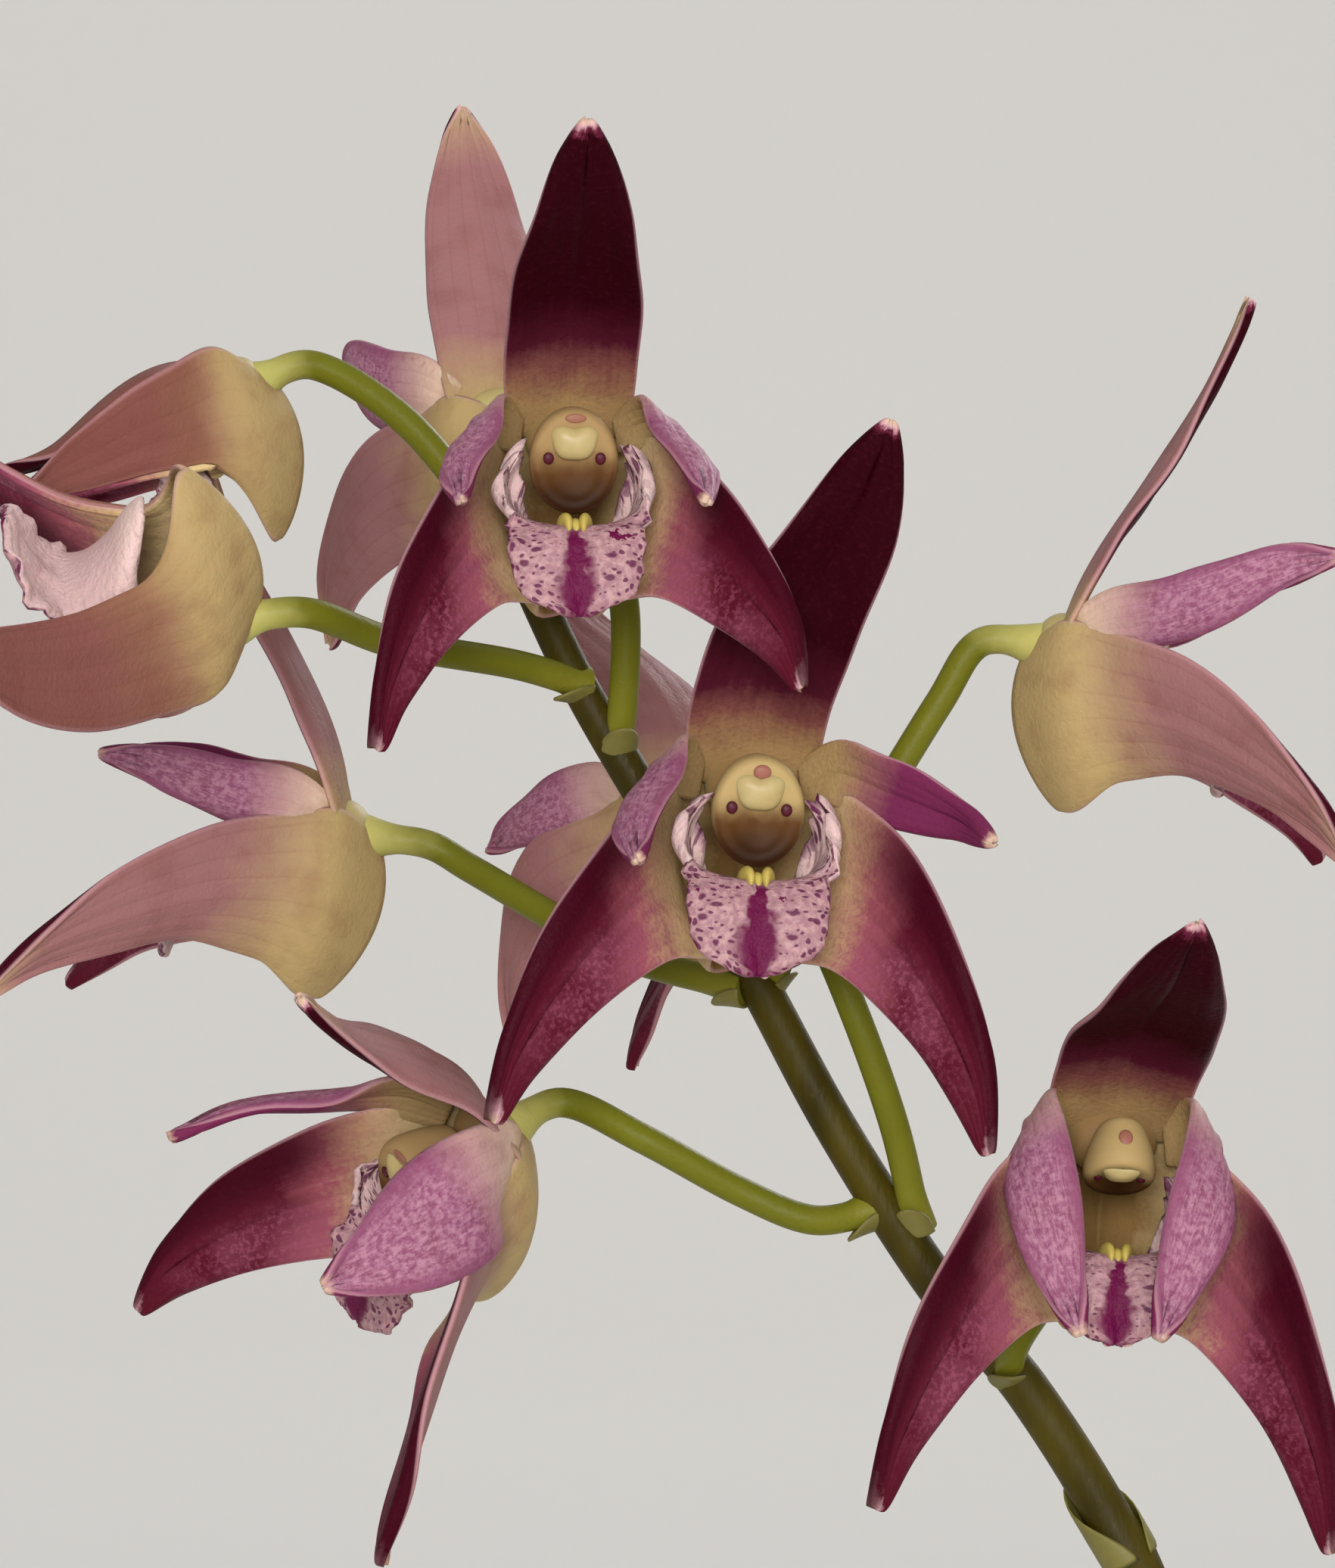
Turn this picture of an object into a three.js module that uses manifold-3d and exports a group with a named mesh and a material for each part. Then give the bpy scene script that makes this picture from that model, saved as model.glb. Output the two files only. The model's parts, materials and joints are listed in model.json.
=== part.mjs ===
// Potted Windsor Downs dendrobium: a clay pot of bark, six canes with leathery leaves, and one
// raceme of ten blooms. Millimetres, +Z up, the origin at the middle of the pot's foot.
import * as THREE from 'three';
import { mergeVertices } from 'three/addons/utils/BufferGeometryUtils.js';
import Module from 'manifold-3d';

const wasm = await Module();
wasm.setup();

const V = (x, y, z) => new THREE.Vector3(x, y, z);

// Pot
const POT_RIM_RADIUS = 66;
const POT_FOOT_RADIUS = 46;
const POT_HEIGHT = 104;
const POT_WALL = 4.5;
const POT_FLOOR = 6;
const RIM_BAND_HEIGHT = 20;
const RIM_BAND_PROUD = 3.5;
const POT_SIDES = 32;
const DRAIN_HOLES = 3;
const DRAIN_RADIUS = 5;
const DRAIN_RING_RADIUS = 26;
const POT_EDGE = 1.5;

// Potting bark; FIT is the room left between pieces that touch
const FIT = 0.3;
const BARK_SURFACE = 90;
const BARK_SIDES = 24;
const BARK_CHIPS = 32;
const BARK_SEED = 7;
const CHIP_LONG = 24;
const CHIP_WIDE = 15;
const CHIP_THICK = 7;
const CHIP_TILT = 0.5;
const CANE_DEPTH = 14;

// Blooms and stem, placed by the picture's own pixels at its scale
const PIXELS_PER_MM = 22;
const VIEW_DISTANCE = 360;
const PICTURE_CENTRE = { px: 882, py: 1036 };
const RACEME_CENTRE = V(-42, 0, 405);
const BLADE = 0.7;
const PEDICEL_RADIUS = 0.9;
const RACHIS_RADIUS = 1.45;
const CANE_TOP = 259;

const COLOURS = {
  clay: { color: 0xa5603f, roughness: 0.9, metalness: 0 },
  bark: { color: 0x4f3524, roughness: 0.95, metalness: 0 },
  cane: { color: 0x6f7a3a, roughness: 0.6, metalness: 0 },
  leaf: { color: 0x37592a, roughness: 0.45, metalness: 0 },
  stem: { color: 0x7d7c22, roughness: 0.5, metalness: 0 },
  sepal: { color: 0x7a2348, roughness: 0.5, metalness: 0 },
  lip: { color: 0xc9a3b4, roughness: 0.5, metalness: 0 },
  column: { color: 0xcabb84, roughness: 0.4, metalness: 0 },
};

const plant = new THREE.Group();

function addPiece(name, finish, geometry) {
  const material = new THREE.MeshStandardMaterial(COLOURS[finish]);
  const mesh = new THREE.Mesh(geometry, material);
  mesh.name = name;
  plant.add(mesh);
}

// A seeded draw from 0 to 1
function seededDraw(seed) {
  let state = seed;
  return () => {
    state = (state * 1664525 + 1013904223) % 4294967296;
    return state / 4294967296;
  };
}

// Joining and cutting closed meshes
function toSolid(geometry) {
  const bare = geometry.clone();
  bare.deleteAttribute('normal');
  bare.deleteAttribute('uv');
  const merged = mergeVertices(bare, 1e-4);
  return new wasm.Manifold(new wasm.Mesh({
    numProp: 3,
    vertProperties: new Float32Array(merged.attributes.position.array),
    triVerts: new Uint32Array(merged.index.array),
  }));
}

function toGeometry(solid) {
  const mesh = solid.getMesh();
  const geometry = new THREE.BufferGeometry();
  geometry.setAttribute('position', new THREE.BufferAttribute(mesh.vertProperties, 3));
  geometry.setIndex(new THREE.BufferAttribute(mesh.triVerts, 1));
  return geometry;
}

// Keeps the largest connected surface, so that a hollow sealed by joining is filled
function outerSurface(geometry) {
  const index = geometry.index.array;
  const owner = Array.from({ length: geometry.attributes.position.count }, (_, n) => n);
  const find = (n) => {
    while (owner[n] !== n) {
      owner[n] = owner[owner[n]];
      n = owner[n];
    }
    return n;
  };
  for (let k = 0; k < index.length; k += 3) {
    owner[find(index[k])] = find(index[k + 1]);
    owner[find(index[k + 1])] = find(index[k + 2]);
  }
  const counts = new Map();
  for (let k = 0; k < index.length; k += 3) {
    const root = find(index[k]);
    counts.set(root, (counts.get(root) || 0) + 1);
  }
  const largest = [...counts].sort((a, b) => b[1] - a[1])[0][0];
  const kept = [];
  for (let k = 0; k < index.length; k += 3) {
    if (find(index[k]) === largest) {
      kept.push(index[k], index[k + 1], index[k + 2]);
    }
  }
  geometry.setIndex(kept);
  return geometry;
}

function join(geometries) {
  let solid = toSolid(geometries[0]);
  for (const next of geometries.slice(1)) {
    solid = solid.add(toSolid(next));
  }
  return outerSurface(toGeometry(solid));
}

// Smooth values between the hand-set rows of a list
function along(rows, t) {
  const last = rows.length - 1;
  const place = Math.min(Math.max(t, 0), 1) * last;
  const i = Math.min(Math.floor(place), last - 1);
  const f = place - i;
  const at = (k) => rows[Math.min(Math.max(k, 0), last)];
  const [a, b, c, d] = [at(i - 1), at(i), at(i + 1), at(i + 2)];
  return b.map((_, n) => 0.5 * (2 * b[n] + (c[n] - a[n]) * f
    + (2 * a[n] - 5 * b[n] + 4 * c[n] - d[n]) * f * f
    + (3 * b[n] - a[n] - 3 * c[n] + d[n]) * f * f * f));
}

const alongPoint = (rows, t) => V(...along(rows, t));

function smooth(low, high, value) {
  const x = Math.min(Math.max((value - low) / (high - low), 0), 1);
  return x * x * (3 - 2 * x);
}

// A closed blade: surface(u, t) gives its middle sheet, u from -1 to 1 across and t from 0 to 1 along
function blade(surface, acrossCount, alongCount, thickness) {
  const rows = alongCount + 1;
  const columns = acrossCount + 1;
  const middle = [];
  for (let j = 0; j < rows; j += 1) {
    for (let i = 0; i < columns; i += 1) {
      middle.push(surface((2 * i) / acrossCount - 1, j / alongCount));
    }
  }
  const sheet = (i, j) => middle[
    Math.min(Math.max(j, 0), alongCount) * columns + Math.min(Math.max(i, 0), acrossCount)];
  const points = [];
  for (const side of [1, -1]) {
    for (let j = 0; j < rows; j += 1) {
      for (let i = 0; i < columns; i += 1) {
        const across = sheet(i + 1, j).clone().sub(sheet(i - 1, j));
        const forward = sheet(i, j + 1).clone().sub(sheet(i, j - 1));
        const normal = across.cross(forward).normalize();
        points.push(sheet(i, j).clone().addScaledVector(normal, (side * thickness) / 2));
      }
    }
  }
  const index = [];
  const half = rows * columns;
  const face = (a, b, c, flip) => index.push(...(flip ? [a, c, b] : [a, b, c]));
  for (const [offset, flip] of [[0, false], [half, true]]) {
    for (let j = 0; j < alongCount; j += 1) {
      for (let i = 0; i < acrossCount; i += 1) {
        const a = offset + j * columns + i;
        const b = a + 1;
        const c = a + columns;
        const d = c + 1;
        face(a, b, d, flip);
        face(a, d, c, flip);
      }
    }
  }
  const wall = (a, b) => index.push(a, a + half, b + half, a, b + half, b);
  for (let i = 0; i < acrossCount; i += 1) {
    wall(i, i + 1);
    wall(alongCount * columns + i + 1, alongCount * columns + i);
  }
  for (let j = 0; j < alongCount; j += 1) {
    wall((j + 1) * columns, j * columns);
    wall(j * columns + acrossCount, (j + 1) * columns + acrossCount);
  }
  const geometry = new THREE.BufferGeometry();
  geometry.setAttribute('position', new THREE.Float32BufferAttribute(
    points.flatMap((p) => [p.x, p.y, p.z]), 3));
  geometry.setIndex(index);
  return geometry;
}

// A closed round body along a path: path(t) gives its middle, radii(t) its two half-widths
function body(path, radii, sides, steps, aside) {
  const points = [path(0)];
  for (let j = 0; j <= steps; j += 1) {
    const t = j / steps;
    const middle = path(t);
    const forward = path(Math.min(t + 0.01, 1)).sub(path(Math.max(t - 0.01, 0))).normalize();
    const wide = aside.clone().addScaledVector(forward, -aside.dot(forward)).normalize();
    const deep = forward.clone().cross(wide);
    const [a, b] = radii(t);
    for (let i = 0; i < sides; i += 1) {
      const angle = (i / sides) * 2 * Math.PI;
      points.push(middle.clone()
        .addScaledVector(wide, a * Math.cos(angle))
        .addScaledVector(deep, b * Math.sin(angle)));
    }
  }
  points.push(path(1));
  const index = [];
  const end = points.length - 1;
  for (let i = 0; i < sides; i += 1) {
    const next = (i + 1) % sides;
    index.push(0, 1 + next, 1 + i);
    for (let j = 0; j < steps; j += 1) {
      const low = 1 + j * sides;
      const high = low + sides;
      index.push(low + i, low + next, high + next, low + i, high + next, high + i);
    }
    index.push(1 + steps * sides + i, 1 + steps * sides + next, end);
  }
  const geometry = new THREE.BufferGeometry();
  geometry.setAttribute('position', new THREE.Float32BufferAttribute(
    points.flatMap((p) => [p.x, p.y, p.z]), 3));
  geometry.setIndex(index);
  return geometry;
}

// A place in the picture, at a depth behind the raceme's own plane, as a point of the plant
function seenAt(px, py, depth) {
  const mm = (1 + depth / VIEW_DISTANCE) / PIXELS_PER_MM;
  return V((px - PICTURE_CENTRE.px) * mm, depth, (PICTURE_CENTRE.py - py) * mm).add(RACEME_CENTRE);
}

// Bloom, in its own frame: right, up and forward out of the bloom's face, from the pedicel's joint.
// Each rib of the lateral sepals runs from the upper edge over the middle to the lower edge,
// from the chin's back line out to the sepal's tip.
const LATERAL_RIBS = [
  [0, 0.6, -0.2, 0, -4.4, -1.1, 0, -9.7, 1.5],
  [3.0, 1.9, 1.6, 3.4, -4.4, 1.4, 1.5, -9.8, 2.9],
  [4.6, 1.2, 4.4, 4.3, -4.5, 4.6, 2.2, -8.9, 5.1],
  [7.7, -0.6, 8.8, 6.5, -5.2, 8.5, 4.4, -8.1, 8.8],
  [10.4, -4.3, 12.9, 9.4, -7.7, 12.7, 7.8, -9.7, 12.6],
  [12.2, -9.0, 15.9, 11.5, -10.5, 15.9, 10.4, -11.9, 15.7],
  [12.6, -13.4, 17.9, 12.4, -13.6, 17.8, 12.1, -13.8, 17.6],
];
const LATERAL_ROOT = [3.2, -4.4, 2.5];
const DORSAL_LINE = [[0, 0.6, 1.4], [0, 5.2, 3.9], [0, 10.2, 7.3], [0, 15.6, 10.6], [0, 21.4, 13.1]];
const DORSAL_WIDTH = 7.9;
const DORSAL_OUTLINE = [[0.86], [0.95], [0.99], [1], [0.95], [0.85], [0.68], [0.42], [0.04]];
const DORSAL_CUP = 1.0;
const PETAL_LINE = [[2.8, 0.8, 2.2], [4.4, 1.8, 4.8], [5.6, 0.8, 8.4], [6.3, -0.6, 12.2], [6.2, -1.9, 15.8]];
const PETAL_WIDTH = 4.0;
const PETAL_OUTLINE = [[0.6], [0.85], [1], [0.96], [0.76], [0.44], [0.04]];
const PETAL_CUP = 0.5;

// Turns a bloom's tepal about its root and shortens it, more towards its tip
function bent(point, root, share, bend) {
  const moved = point.clone().sub(root).multiplyScalar(1 + ((bend.long || 1) - 1) * share);
  const turn = new THREE.Euler(
    THREE.MathUtils.degToRad(-(bend.lift || 0)) * share,
    THREE.MathUtils.degToRad(bend.swing || 0) * share,
    THREE.MathUtils.degToRad(-(bend.roll || 0)) * share,
    'YXZ');
  return moved.applyEuler(turn).add(root);
}

// A tepal about a middle line; flat gives the across direction at its root and at its tip
function tepal(line, width, outline, cup, flat, mirror, bend) {
  const root = V(...line[0]);
  return (u, t) => {
    const middle = alongPoint(line, t);
    const forward = alongPoint(line, Math.min(t + 0.02, 1)).sub(alongPoint(line, Math.max(t - 0.02, 0)));
    forward.normalize();
    const across = V(...flat[0]).lerp(V(...flat[1]), t);
    across.addScaledVector(forward, -across.dot(forward)).normalize();
    across.applyAxisAngle(forward, THREE.MathUtils.degToRad(bend.twist || 0) * smooth(0, 0.6, t));
    const inward = across.clone().cross(forward);
    const half = (width / 2) * (bend.wide || 1) * along(outline, t)[0];
    const depth = cup * (bend.cup ?? 1) * Math.sin(Math.PI * Math.min(t * 1.1, 1)) * (1 - u * u);
    const point = middle.addScaledVector(across, u * half).addScaledVector(inward, depth);
    const moved = bent(point, root, smooth(bend.from || 0.1, 0.85, t), bend);
    return mirror ? V(-moved.x, moved.y, moved.z) : moved;
  };
}

// The two lateral sepals and the chin between them are one sheet, t from the left tip to the right.
// A bloom's notch narrows them from below, just past the chin, and its shut widens them upwards.
function lateralSheet(bloom) {
  const root = V(...LATERAL_ROOT);
  return (u, t) => {
    const side = t < 0.5 ? -1 : 1;
    const outwards = Math.abs(t - 0.5) * 2;
    const rib = along(LATERAL_RIBS, outwards);
    const upper = V(rib[0], rib[1], rib[2]);
    const middle = V(rib[3], rib[4], rib[5]);
    const lower = V(rib[6], rib[7], rib[8]);
    const zone = smooth(0.04, 0.36, outwards) * (1 - smooth(0.7, 1, outwards));
    const notch = (bloom.notch || 0) * zone;
    lower.lerp(middle, notch);
    middle.addScaledVector(upper.clone().sub(lower), 0.25 * notch);
    upper.addScaledVector(upper.clone().sub(middle), (bloom.shut || 0) * zone);
    const point = upper.multiplyScalar((u * (u + 1)) / 2)
      .addScaledVector(middle, 1 - u * u)
      .addScaledVector(lower, (u * (u - 1)) / 2);
    const bend = side < 0 ? bloom.leftSepal : bloom.rightSepal;
    const moved = bent(point, root, smooth(0.2, 1, outwards), bend || {});
    return V(side * moved.x, moved.y, moved.z);
  };
}

// Lip: rows from its claw in the chin to its pointed tip. Each is a part of an ellipse's lower arc:
// its lowest point's height and forward place, its half-width and half-height, and its half-angle.
const LIP_ROWS = [
  [-8.1, 4.0, 0.8, 0.3, 90],
  [-7.2, 5.0, 2.2, 1.6, 110],
  [-5.9, 6.1, 3.5, 3.0, 122],
  [-5.0, 7.2, 4.1, 3.4, 134],
  [-4.3, 8.3, 4.3, 2.3, 114],
  [-4.1, 9.3, 3.9, 0.7, 84],
  [-4.9, 10.4, 4.0, -0.3, 80],
  [-6.9, 11.2, 3.2, -0.8, 80],
  [-8.8, 11.4, 0.3, 0, 80],
];
const LIP_CLAW = V(0, -8.1, 4.0);

function lipSheet(size) {
  return (u, t) => {
    const [height, forward, wide, tall, arc] = along(LIP_ROWS, t);
    const angle = u * THREE.MathUtils.degToRad(arc);
    const point = V(wide * Math.sin(angle), height + tall * (1 - Math.cos(angle)), forward);
    return point.sub(LIP_CLAW).multiplyScalar(size).add(LIP_CLAW);
  };
}

// Column and its cap
const COLUMN_LINE = [[0, 0.4, 3.7], [0, 0.1, 5.2], [0, -0.2, 6.6], [0, -0.3, 7.9]];
const COLUMN_WIDTHS = [[1.5], [2.2], [2.5], [2.0]];
const COLUMN_TALLNESS = 1.14;
const COLUMN_TILT_ROOM = V(0, 2, 1.7);
const RECEPTACLE_PLACE = V(0, 0.5, 1.6);
const RECEPTACLE_RADII = V(2.5, 1.9, 1.7);
const JOINT_PLACE = V(0, 0.2, -1.0);
const JOINT_APPROACH = V(0, 0.6, -3.4);

// A bloom's own frame as seen by someone in front of it: turn to the right, nod down, lean right
function bloomFrame(bloom) {
  const frame = new THREE.Group();
  const facing = new THREE.Matrix4().makeBasis(V(1, 0, 0), V(0, 0, 1), V(0, -1, 0));
  const turned = new THREE.Matrix4().makeRotationFromEuler(new THREE.Euler(
    THREE.MathUtils.degToRad(bloom.nod),
    THREE.MathUtils.degToRad(bloom.turn),
    THREE.MathUtils.degToRad(-bloom.lean),
    'YXZ'));
  frame.applyMatrix4(facing.multiply(turned));
  frame.scale.setScalar(bloom.size);
  frame.position.copy(seenAt(...bloom.joint));
  frame.updateMatrixWorld();
  return frame;
}

function bloomPerianth(bloom) {
  const dorsal = tepal(DORSAL_LINE, DORSAL_WIDTH, DORSAL_OUTLINE, -DORSAL_CUP,
    [[1, 0, 0], [1, 0, 0]], false, bloom.dorsal || {});
  const petalFlat = [[0.1, 0.99, 0], [0, 0.97, 0.1]];
  const rightPetal = tepal(PETAL_LINE, PETAL_WIDTH, PETAL_OUTLINE, PETAL_CUP,
    petalFlat, false, bloom.rightPetal || {});
  const leftPetal = tepal(PETAL_LINE, PETAL_WIDTH, PETAL_OUTLINE, PETAL_CUP,
    petalFlat, true, bloom.leftPetal || {});
  const receptacle = new THREE.SphereGeometry(1, 7, 5);
  receptacle.scale(...RECEPTACLE_RADII);
  receptacle.translate(...RECEPTACLE_PLACE);
  return join([
    blade(lateralSheet(bloom), 4, 12, BLADE),
    blade(dorsal, 2, 6, BLADE),
    blade(rightPetal, 2, 5, BLADE),
    blade(leftPetal, 2, 5, BLADE),
    receptacle,
  ]);
}

function bloomColumn(tilt, size) {
  const root = V(...COLUMN_LINE[0]);
  const turn = new THREE.Euler(THREE.MathUtils.degToRad(tilt), 0, 0);
  const foot = root.clone().addScaledVector(COLUMN_TILT_ROOM, Math.sin(turn.x));
  return body((t) => alongPoint(COLUMN_LINE, t).sub(root).multiplyScalar(size).applyEuler(turn).add(foot),
    (t) => {
      const half = along(COLUMN_WIDTHS, t)[0] * size;
      return [half, half * COLUMN_TALLNESS];
    }, 8, 3, V(1, 0, 0));
}

// The ten blooms: the picture place and depth of each pedicel's joint, the way the bloom faces,
// its size, the bend of single tepals, and the pedicel's route from the rachis to the joint
const BLOOMS = [
  { name: 'a', joint: [747, 590, -8], turn: 5, nod: 8, lean: 0, size: 1,
    dorsal: { lift: -8 },
    leftSepal: { swing: -2, lift: -12, long: 0.95 }, rightSepal: { swing: 2, lift: 3, long: 0.93 },
    leftPetal: { swing: 3, twist: 70, wide: 0.9 }, rightPetal: { swing: 3, twist: 70, wide: 0.9 },
    foot: [815, 985, 0], route: [[823, 930, -1], [825, 800, -2], [795, 680, -3]] },
  { name: 'b', joint: [985, 1048, -6], turn: 5, nod: 6, lean: 3, size: 1.06,
    dorsal: { lift: 5, roll: 15 },
    leftSepal: { swing: 7, lift: -14 }, rightSepal: { swing: 2, lift: -16 },
    leftPetal: { swing: 6, roll: 10, twist: 70 }, rightPetal: { swing: 27, lift: 5 },
    foot: [1212, 1622, 0], route: [[1182, 1489, -2], [1127, 1333, -3], [1060, 1180, -2]] },
  { name: 'c', joint: [1463, 1512, -9], turn: 2, nod: 8, lean: 4, size: 1.08, lip: 0.88,
    tilt: 56, column: 0.76,
    dorsal: { lift: -22, roll: 3, from: -0.4 },
    leftSepal: { swing: 0, lift: -20, long: 0.96 }, rightSepal: { swing: -3, lift: -20 },
    leftPetal: { swing: -20, lift: -26, twist: 60, wide: 1.15 },
    rightPetal: { swing: -22, lift: -26, twist: 60, wide: 1.15 },
    foot: [1330, 1812, 0], route: [[1345, 1770, -3], [1387, 1702, -5], [1430, 1600, -5]] },
  { name: 'd', joint: [1370, 862, 4], turn: 88, nod: 0, lean: 0, size: 1, lip: 0.95, notch: 0.2,
    dorsal: { cup: 0.3 },
    leftPetal: { lift: 28, long: 1.2 }, rightPetal: { lift: 28, long: 1.2 },
    leftSepal: { lift: 3 }, rightSepal: { lift: 3 },
    foot: [1010, 1300, 0], route: [[1080, 1180, 3], [1156, 1065, 4], [1240, 930, 4]] },
  { name: 'e', joint: [350, 512, 4], turn: -90, nod: 14, lean: 0, size: 0.95, lip: 0.72,
    column: 0.68, notch: 1.1, shut: 0.4,
    dorsal: { lift: -67, from: -0.7, long: 0.7, cup: 1.2 },
    leftSepal: { lift: 32, swing: -32, long: 0.75 },
    rightSepal: { lift: 32, swing: -32, long: 0.75 },
    leftPetal: { lift: -15, swing: -18, long: 0.55, wide: 0.8, from: -0.6 },
    rightPetal: { lift: -15, swing: -18, long: 0.55, wide: 0.8, from: -0.6 },
    foot: [690, 750, 0], route: [[640, 680, 2], [534, 555, 3]] },
  { name: 'f', joint: [322, 812, -14], turn: -90, nod: 10, lean: -146, size: 1.06,
    notch: 0.8, shut: 0.3,
    dorsal: { lift: -66, from: -0.5, long: 0.85, cup: 2 },
    leftSepal: { swing: 12 }, rightSepal: { swing: -4, lift: 4 },
    leftPetal: { swing: -6, lift: 5, long: 0.55, from: -0.6 },
    rightPetal: { swing: -6, lift: 5, long: 0.55, from: -0.6 },
    foot: [770, 905, 0], route: [[680, 878, -3], [522, 850, -9]] },
  { name: 'g', joint: [486, 1115, 13], turn: -94, nod: -10, lean: 0, size: 1.04, lip: 0.95, notch: 0.2,
    dorsal: { lift: -2 },
    leftSepal: { lift: 5 }, rightSepal: { lift: 7 },
    leftPetal: { lift: 20 }, rightPetal: { lift: 19 },
    foot: [985, 1305, 0], route: [[843, 1269, 4], [745, 1220, 8], [624, 1149, 12]] },
  { name: 'h', joint: [677, 1498, -2], turn: -60, nod: 21, lean: 33, size: 1.06, lip: 0.9,
    dorsal: { lift: -8, long: 0.86 },
    leftPetal: { lift: 10, swing: 14, twist: 50, long: 1.12 },
    rightPetal: { twist: 50, swing: -4, lift: 12, wide: 1.9, from: -0.5 },
    foot: [1150, 1600, 0], route: [[1073, 1612, -1], [977, 1574, -1], [850, 1505, -2]] },
  { name: 'i', joint: [672, 560, 18], turn: -165, nod: 0, lean: 0, size: 1, lip: 0.85,
    leftSepal: { swing: -18 }, rightSepal: { swing: -18 },
    leftPetal: { lift: 10, wide: 1.4, long: 1.15 }, rightPetal: { lift: 26, wide: 1.4, long: 1.15 },
    foot: [700, 770, 0], route: [[690, 720, 6], [680, 650, 11]] },
  { name: 'j', joint: [925, 1085, 10], turn: -150, nod: 0, lean: 0, size: 1, lip: 0.8,
    dorsal: { lift: -20 },
    leftSepal: { swing: -26, lift: -10 }, rightSepal: { swing: -38, lift: -14 },
    foot: [905, 1140, 0], route: [[915, 1110, 3]] },
];

// Flower stem: from the tallest cane's top up to the raceme's end
const PEDUNCLE_LINE = [[11, 0, CANE_TOP + FIT], [10, 0, 284], [5, 0, 311], [-3, 0, 337]];
const RACHIS_SEEN = [[1502, 2072, 0], [1361, 1842, 0], [1240, 1700, 0], [1104, 1489, 0],
  [985, 1270, 0], [850, 1050, 0], [765, 905, 0], [700, 770, 0], [680, 730, 0]];

function stemLine() {
  const rachis = RACHIS_SEEN.map((place) => seenAt(...place).toArray());
  return [...PEDUNCLE_LINE, ...rachis];
}

function flowerStem(frames) {
  const line = stemLine();
  const rachis = body((t) => alongPoint(line, t), (t) => {
    const radius = RACHIS_RADIUS * (1.15 - 0.45 * t);
    return [radius, radius];
  }, 8, 18, V(0, 1, 0));
  const pedicels = BLOOMS.map((bloom, n) => {
    const frame = frames[n];
    const joint = frame.localToWorld(JOINT_PLACE.clone());
    const approach = frame.localToWorld(JOINT_APPROACH.clone());
    const route = [bloom.foot, ...bloom.route].map((place) => seenAt(...place).toArray());
    const points = [...route, approach.toArray(), joint.toArray()];
    const middle = (t) => alongPoint(points, t);
    return body(middle, () => [PEDICEL_RADIUS, PEDICEL_RADIUS], 6, 8, V(0, 1, 0.1));
  });
  return join([rachis, ...pedicels]);
}

function addRaceme() {
  const frames = BLOOMS.map(bloomFrame);
  addPiece('flower_stem', 'stem', flowerStem(frames));
  BLOOMS.forEach((bloom, n) => {
    const place = frames[n].matrixWorld;
    const lip = blade(lipSheet(bloom.lip || 1), 4, 8, BLADE);
    addPiece(`bloom_${bloom.name}_perianth`, 'sepal', bloomPerianth(bloom).applyMatrix4(place));
    addPiece(`bloom_${bloom.name}_lip`, 'lip', lip.applyMatrix4(place));
    const column = bloomColumn(bloom.tilt || 0, bloom.column || 1);
    addPiece(`bloom_${bloom.name}_column`, 'column', column.applyMatrix4(place));
  });
}

// Pot: a turned shell with a band round its rim and drain holes in its floor
function innerRadius(height) {
  const share = (height - POT_FLOOR) / (POT_HEIGHT - POT_FLOOR);
  const floorRadius = POT_FOOT_RADIUS - POT_WALL;
  return floorRadius + (POT_RIM_RADIUS - POT_WALL - floorRadius) * share;
}

function turned(profile, sides) {
  const geometry = new THREE.LatheGeometry(profile.map(([r, z]) => new THREE.Vector2(r, z)), sides);
  return geometry.rotateX(Math.PI / 2);
}

function addPot() {
  const bandFoot = POT_HEIGHT - RIM_BAND_HEIGHT;
  const shell = turned([
    [0, 0],
    [POT_FOOT_RADIUS - POT_EDGE, 0],
    [POT_FOOT_RADIUS, POT_EDGE],
    [innerRadius(bandFoot) + POT_WALL, bandFoot],
    [innerRadius(bandFoot) + POT_WALL + RIM_BAND_PROUD, bandFoot + POT_EDGE],
    [POT_RIM_RADIUS + RIM_BAND_PROUD, POT_HEIGHT - POT_EDGE],
    [POT_RIM_RADIUS + RIM_BAND_PROUD - POT_EDGE, POT_HEIGHT],
    [innerRadius(POT_HEIGHT) + POT_EDGE, POT_HEIGHT],
    [innerRadius(POT_HEIGHT - POT_EDGE), POT_HEIGHT - POT_EDGE],
    [innerRadius(POT_FLOOR), POT_FLOOR],
    [0, POT_FLOOR],
  ], POT_SIDES);
  let solid = toSolid(shell);
  for (let n = 0; n < DRAIN_HOLES; n += 1) {
    const angle = (n / DRAIN_HOLES) * 2 * Math.PI;
    const hole = new THREE.CylinderGeometry(DRAIN_RADIUS, DRAIN_RADIUS, 4 * POT_FLOOR, 8);
    hole.rotateX(Math.PI / 2);
    hole.translate(DRAIN_RING_RADIUS * Math.cos(angle), DRAIN_RING_RADIUS * Math.sin(angle), 0);
    solid = solid.subtract(toSolid(hole));
  }
  addPiece('pot', 'clay', toGeometry(solid));
}

// Canes: where each stands in the bark, where its top is, and its widest half-width
const CANES = [
  { foot: [6, 2], top: [11, 0, CANE_TOP], radius: 6.4 },
  { foot: [-14, 12], top: [-32, 26, 214], radius: 7.2 },
  { foot: [21, -12], top: [42, -26, 206], radius: 7.0 },
  { foot: [-6, -21], top: [-16, -48, 184], radius: 6.8 },
  { foot: [22, 22], top: [46, 46, 192], radius: 6.6 },
  { foot: [-29, -6], top: [-62, -16, 160], radius: 7.4 },
];
const CANE_TOP_RADIUS = 3;
const CANE_OUTLINE = [[0.62], [0.8], [1], [0.98], [0.88], [0.76], [0.66], [0.58], [0.5], [0.44]];

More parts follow.
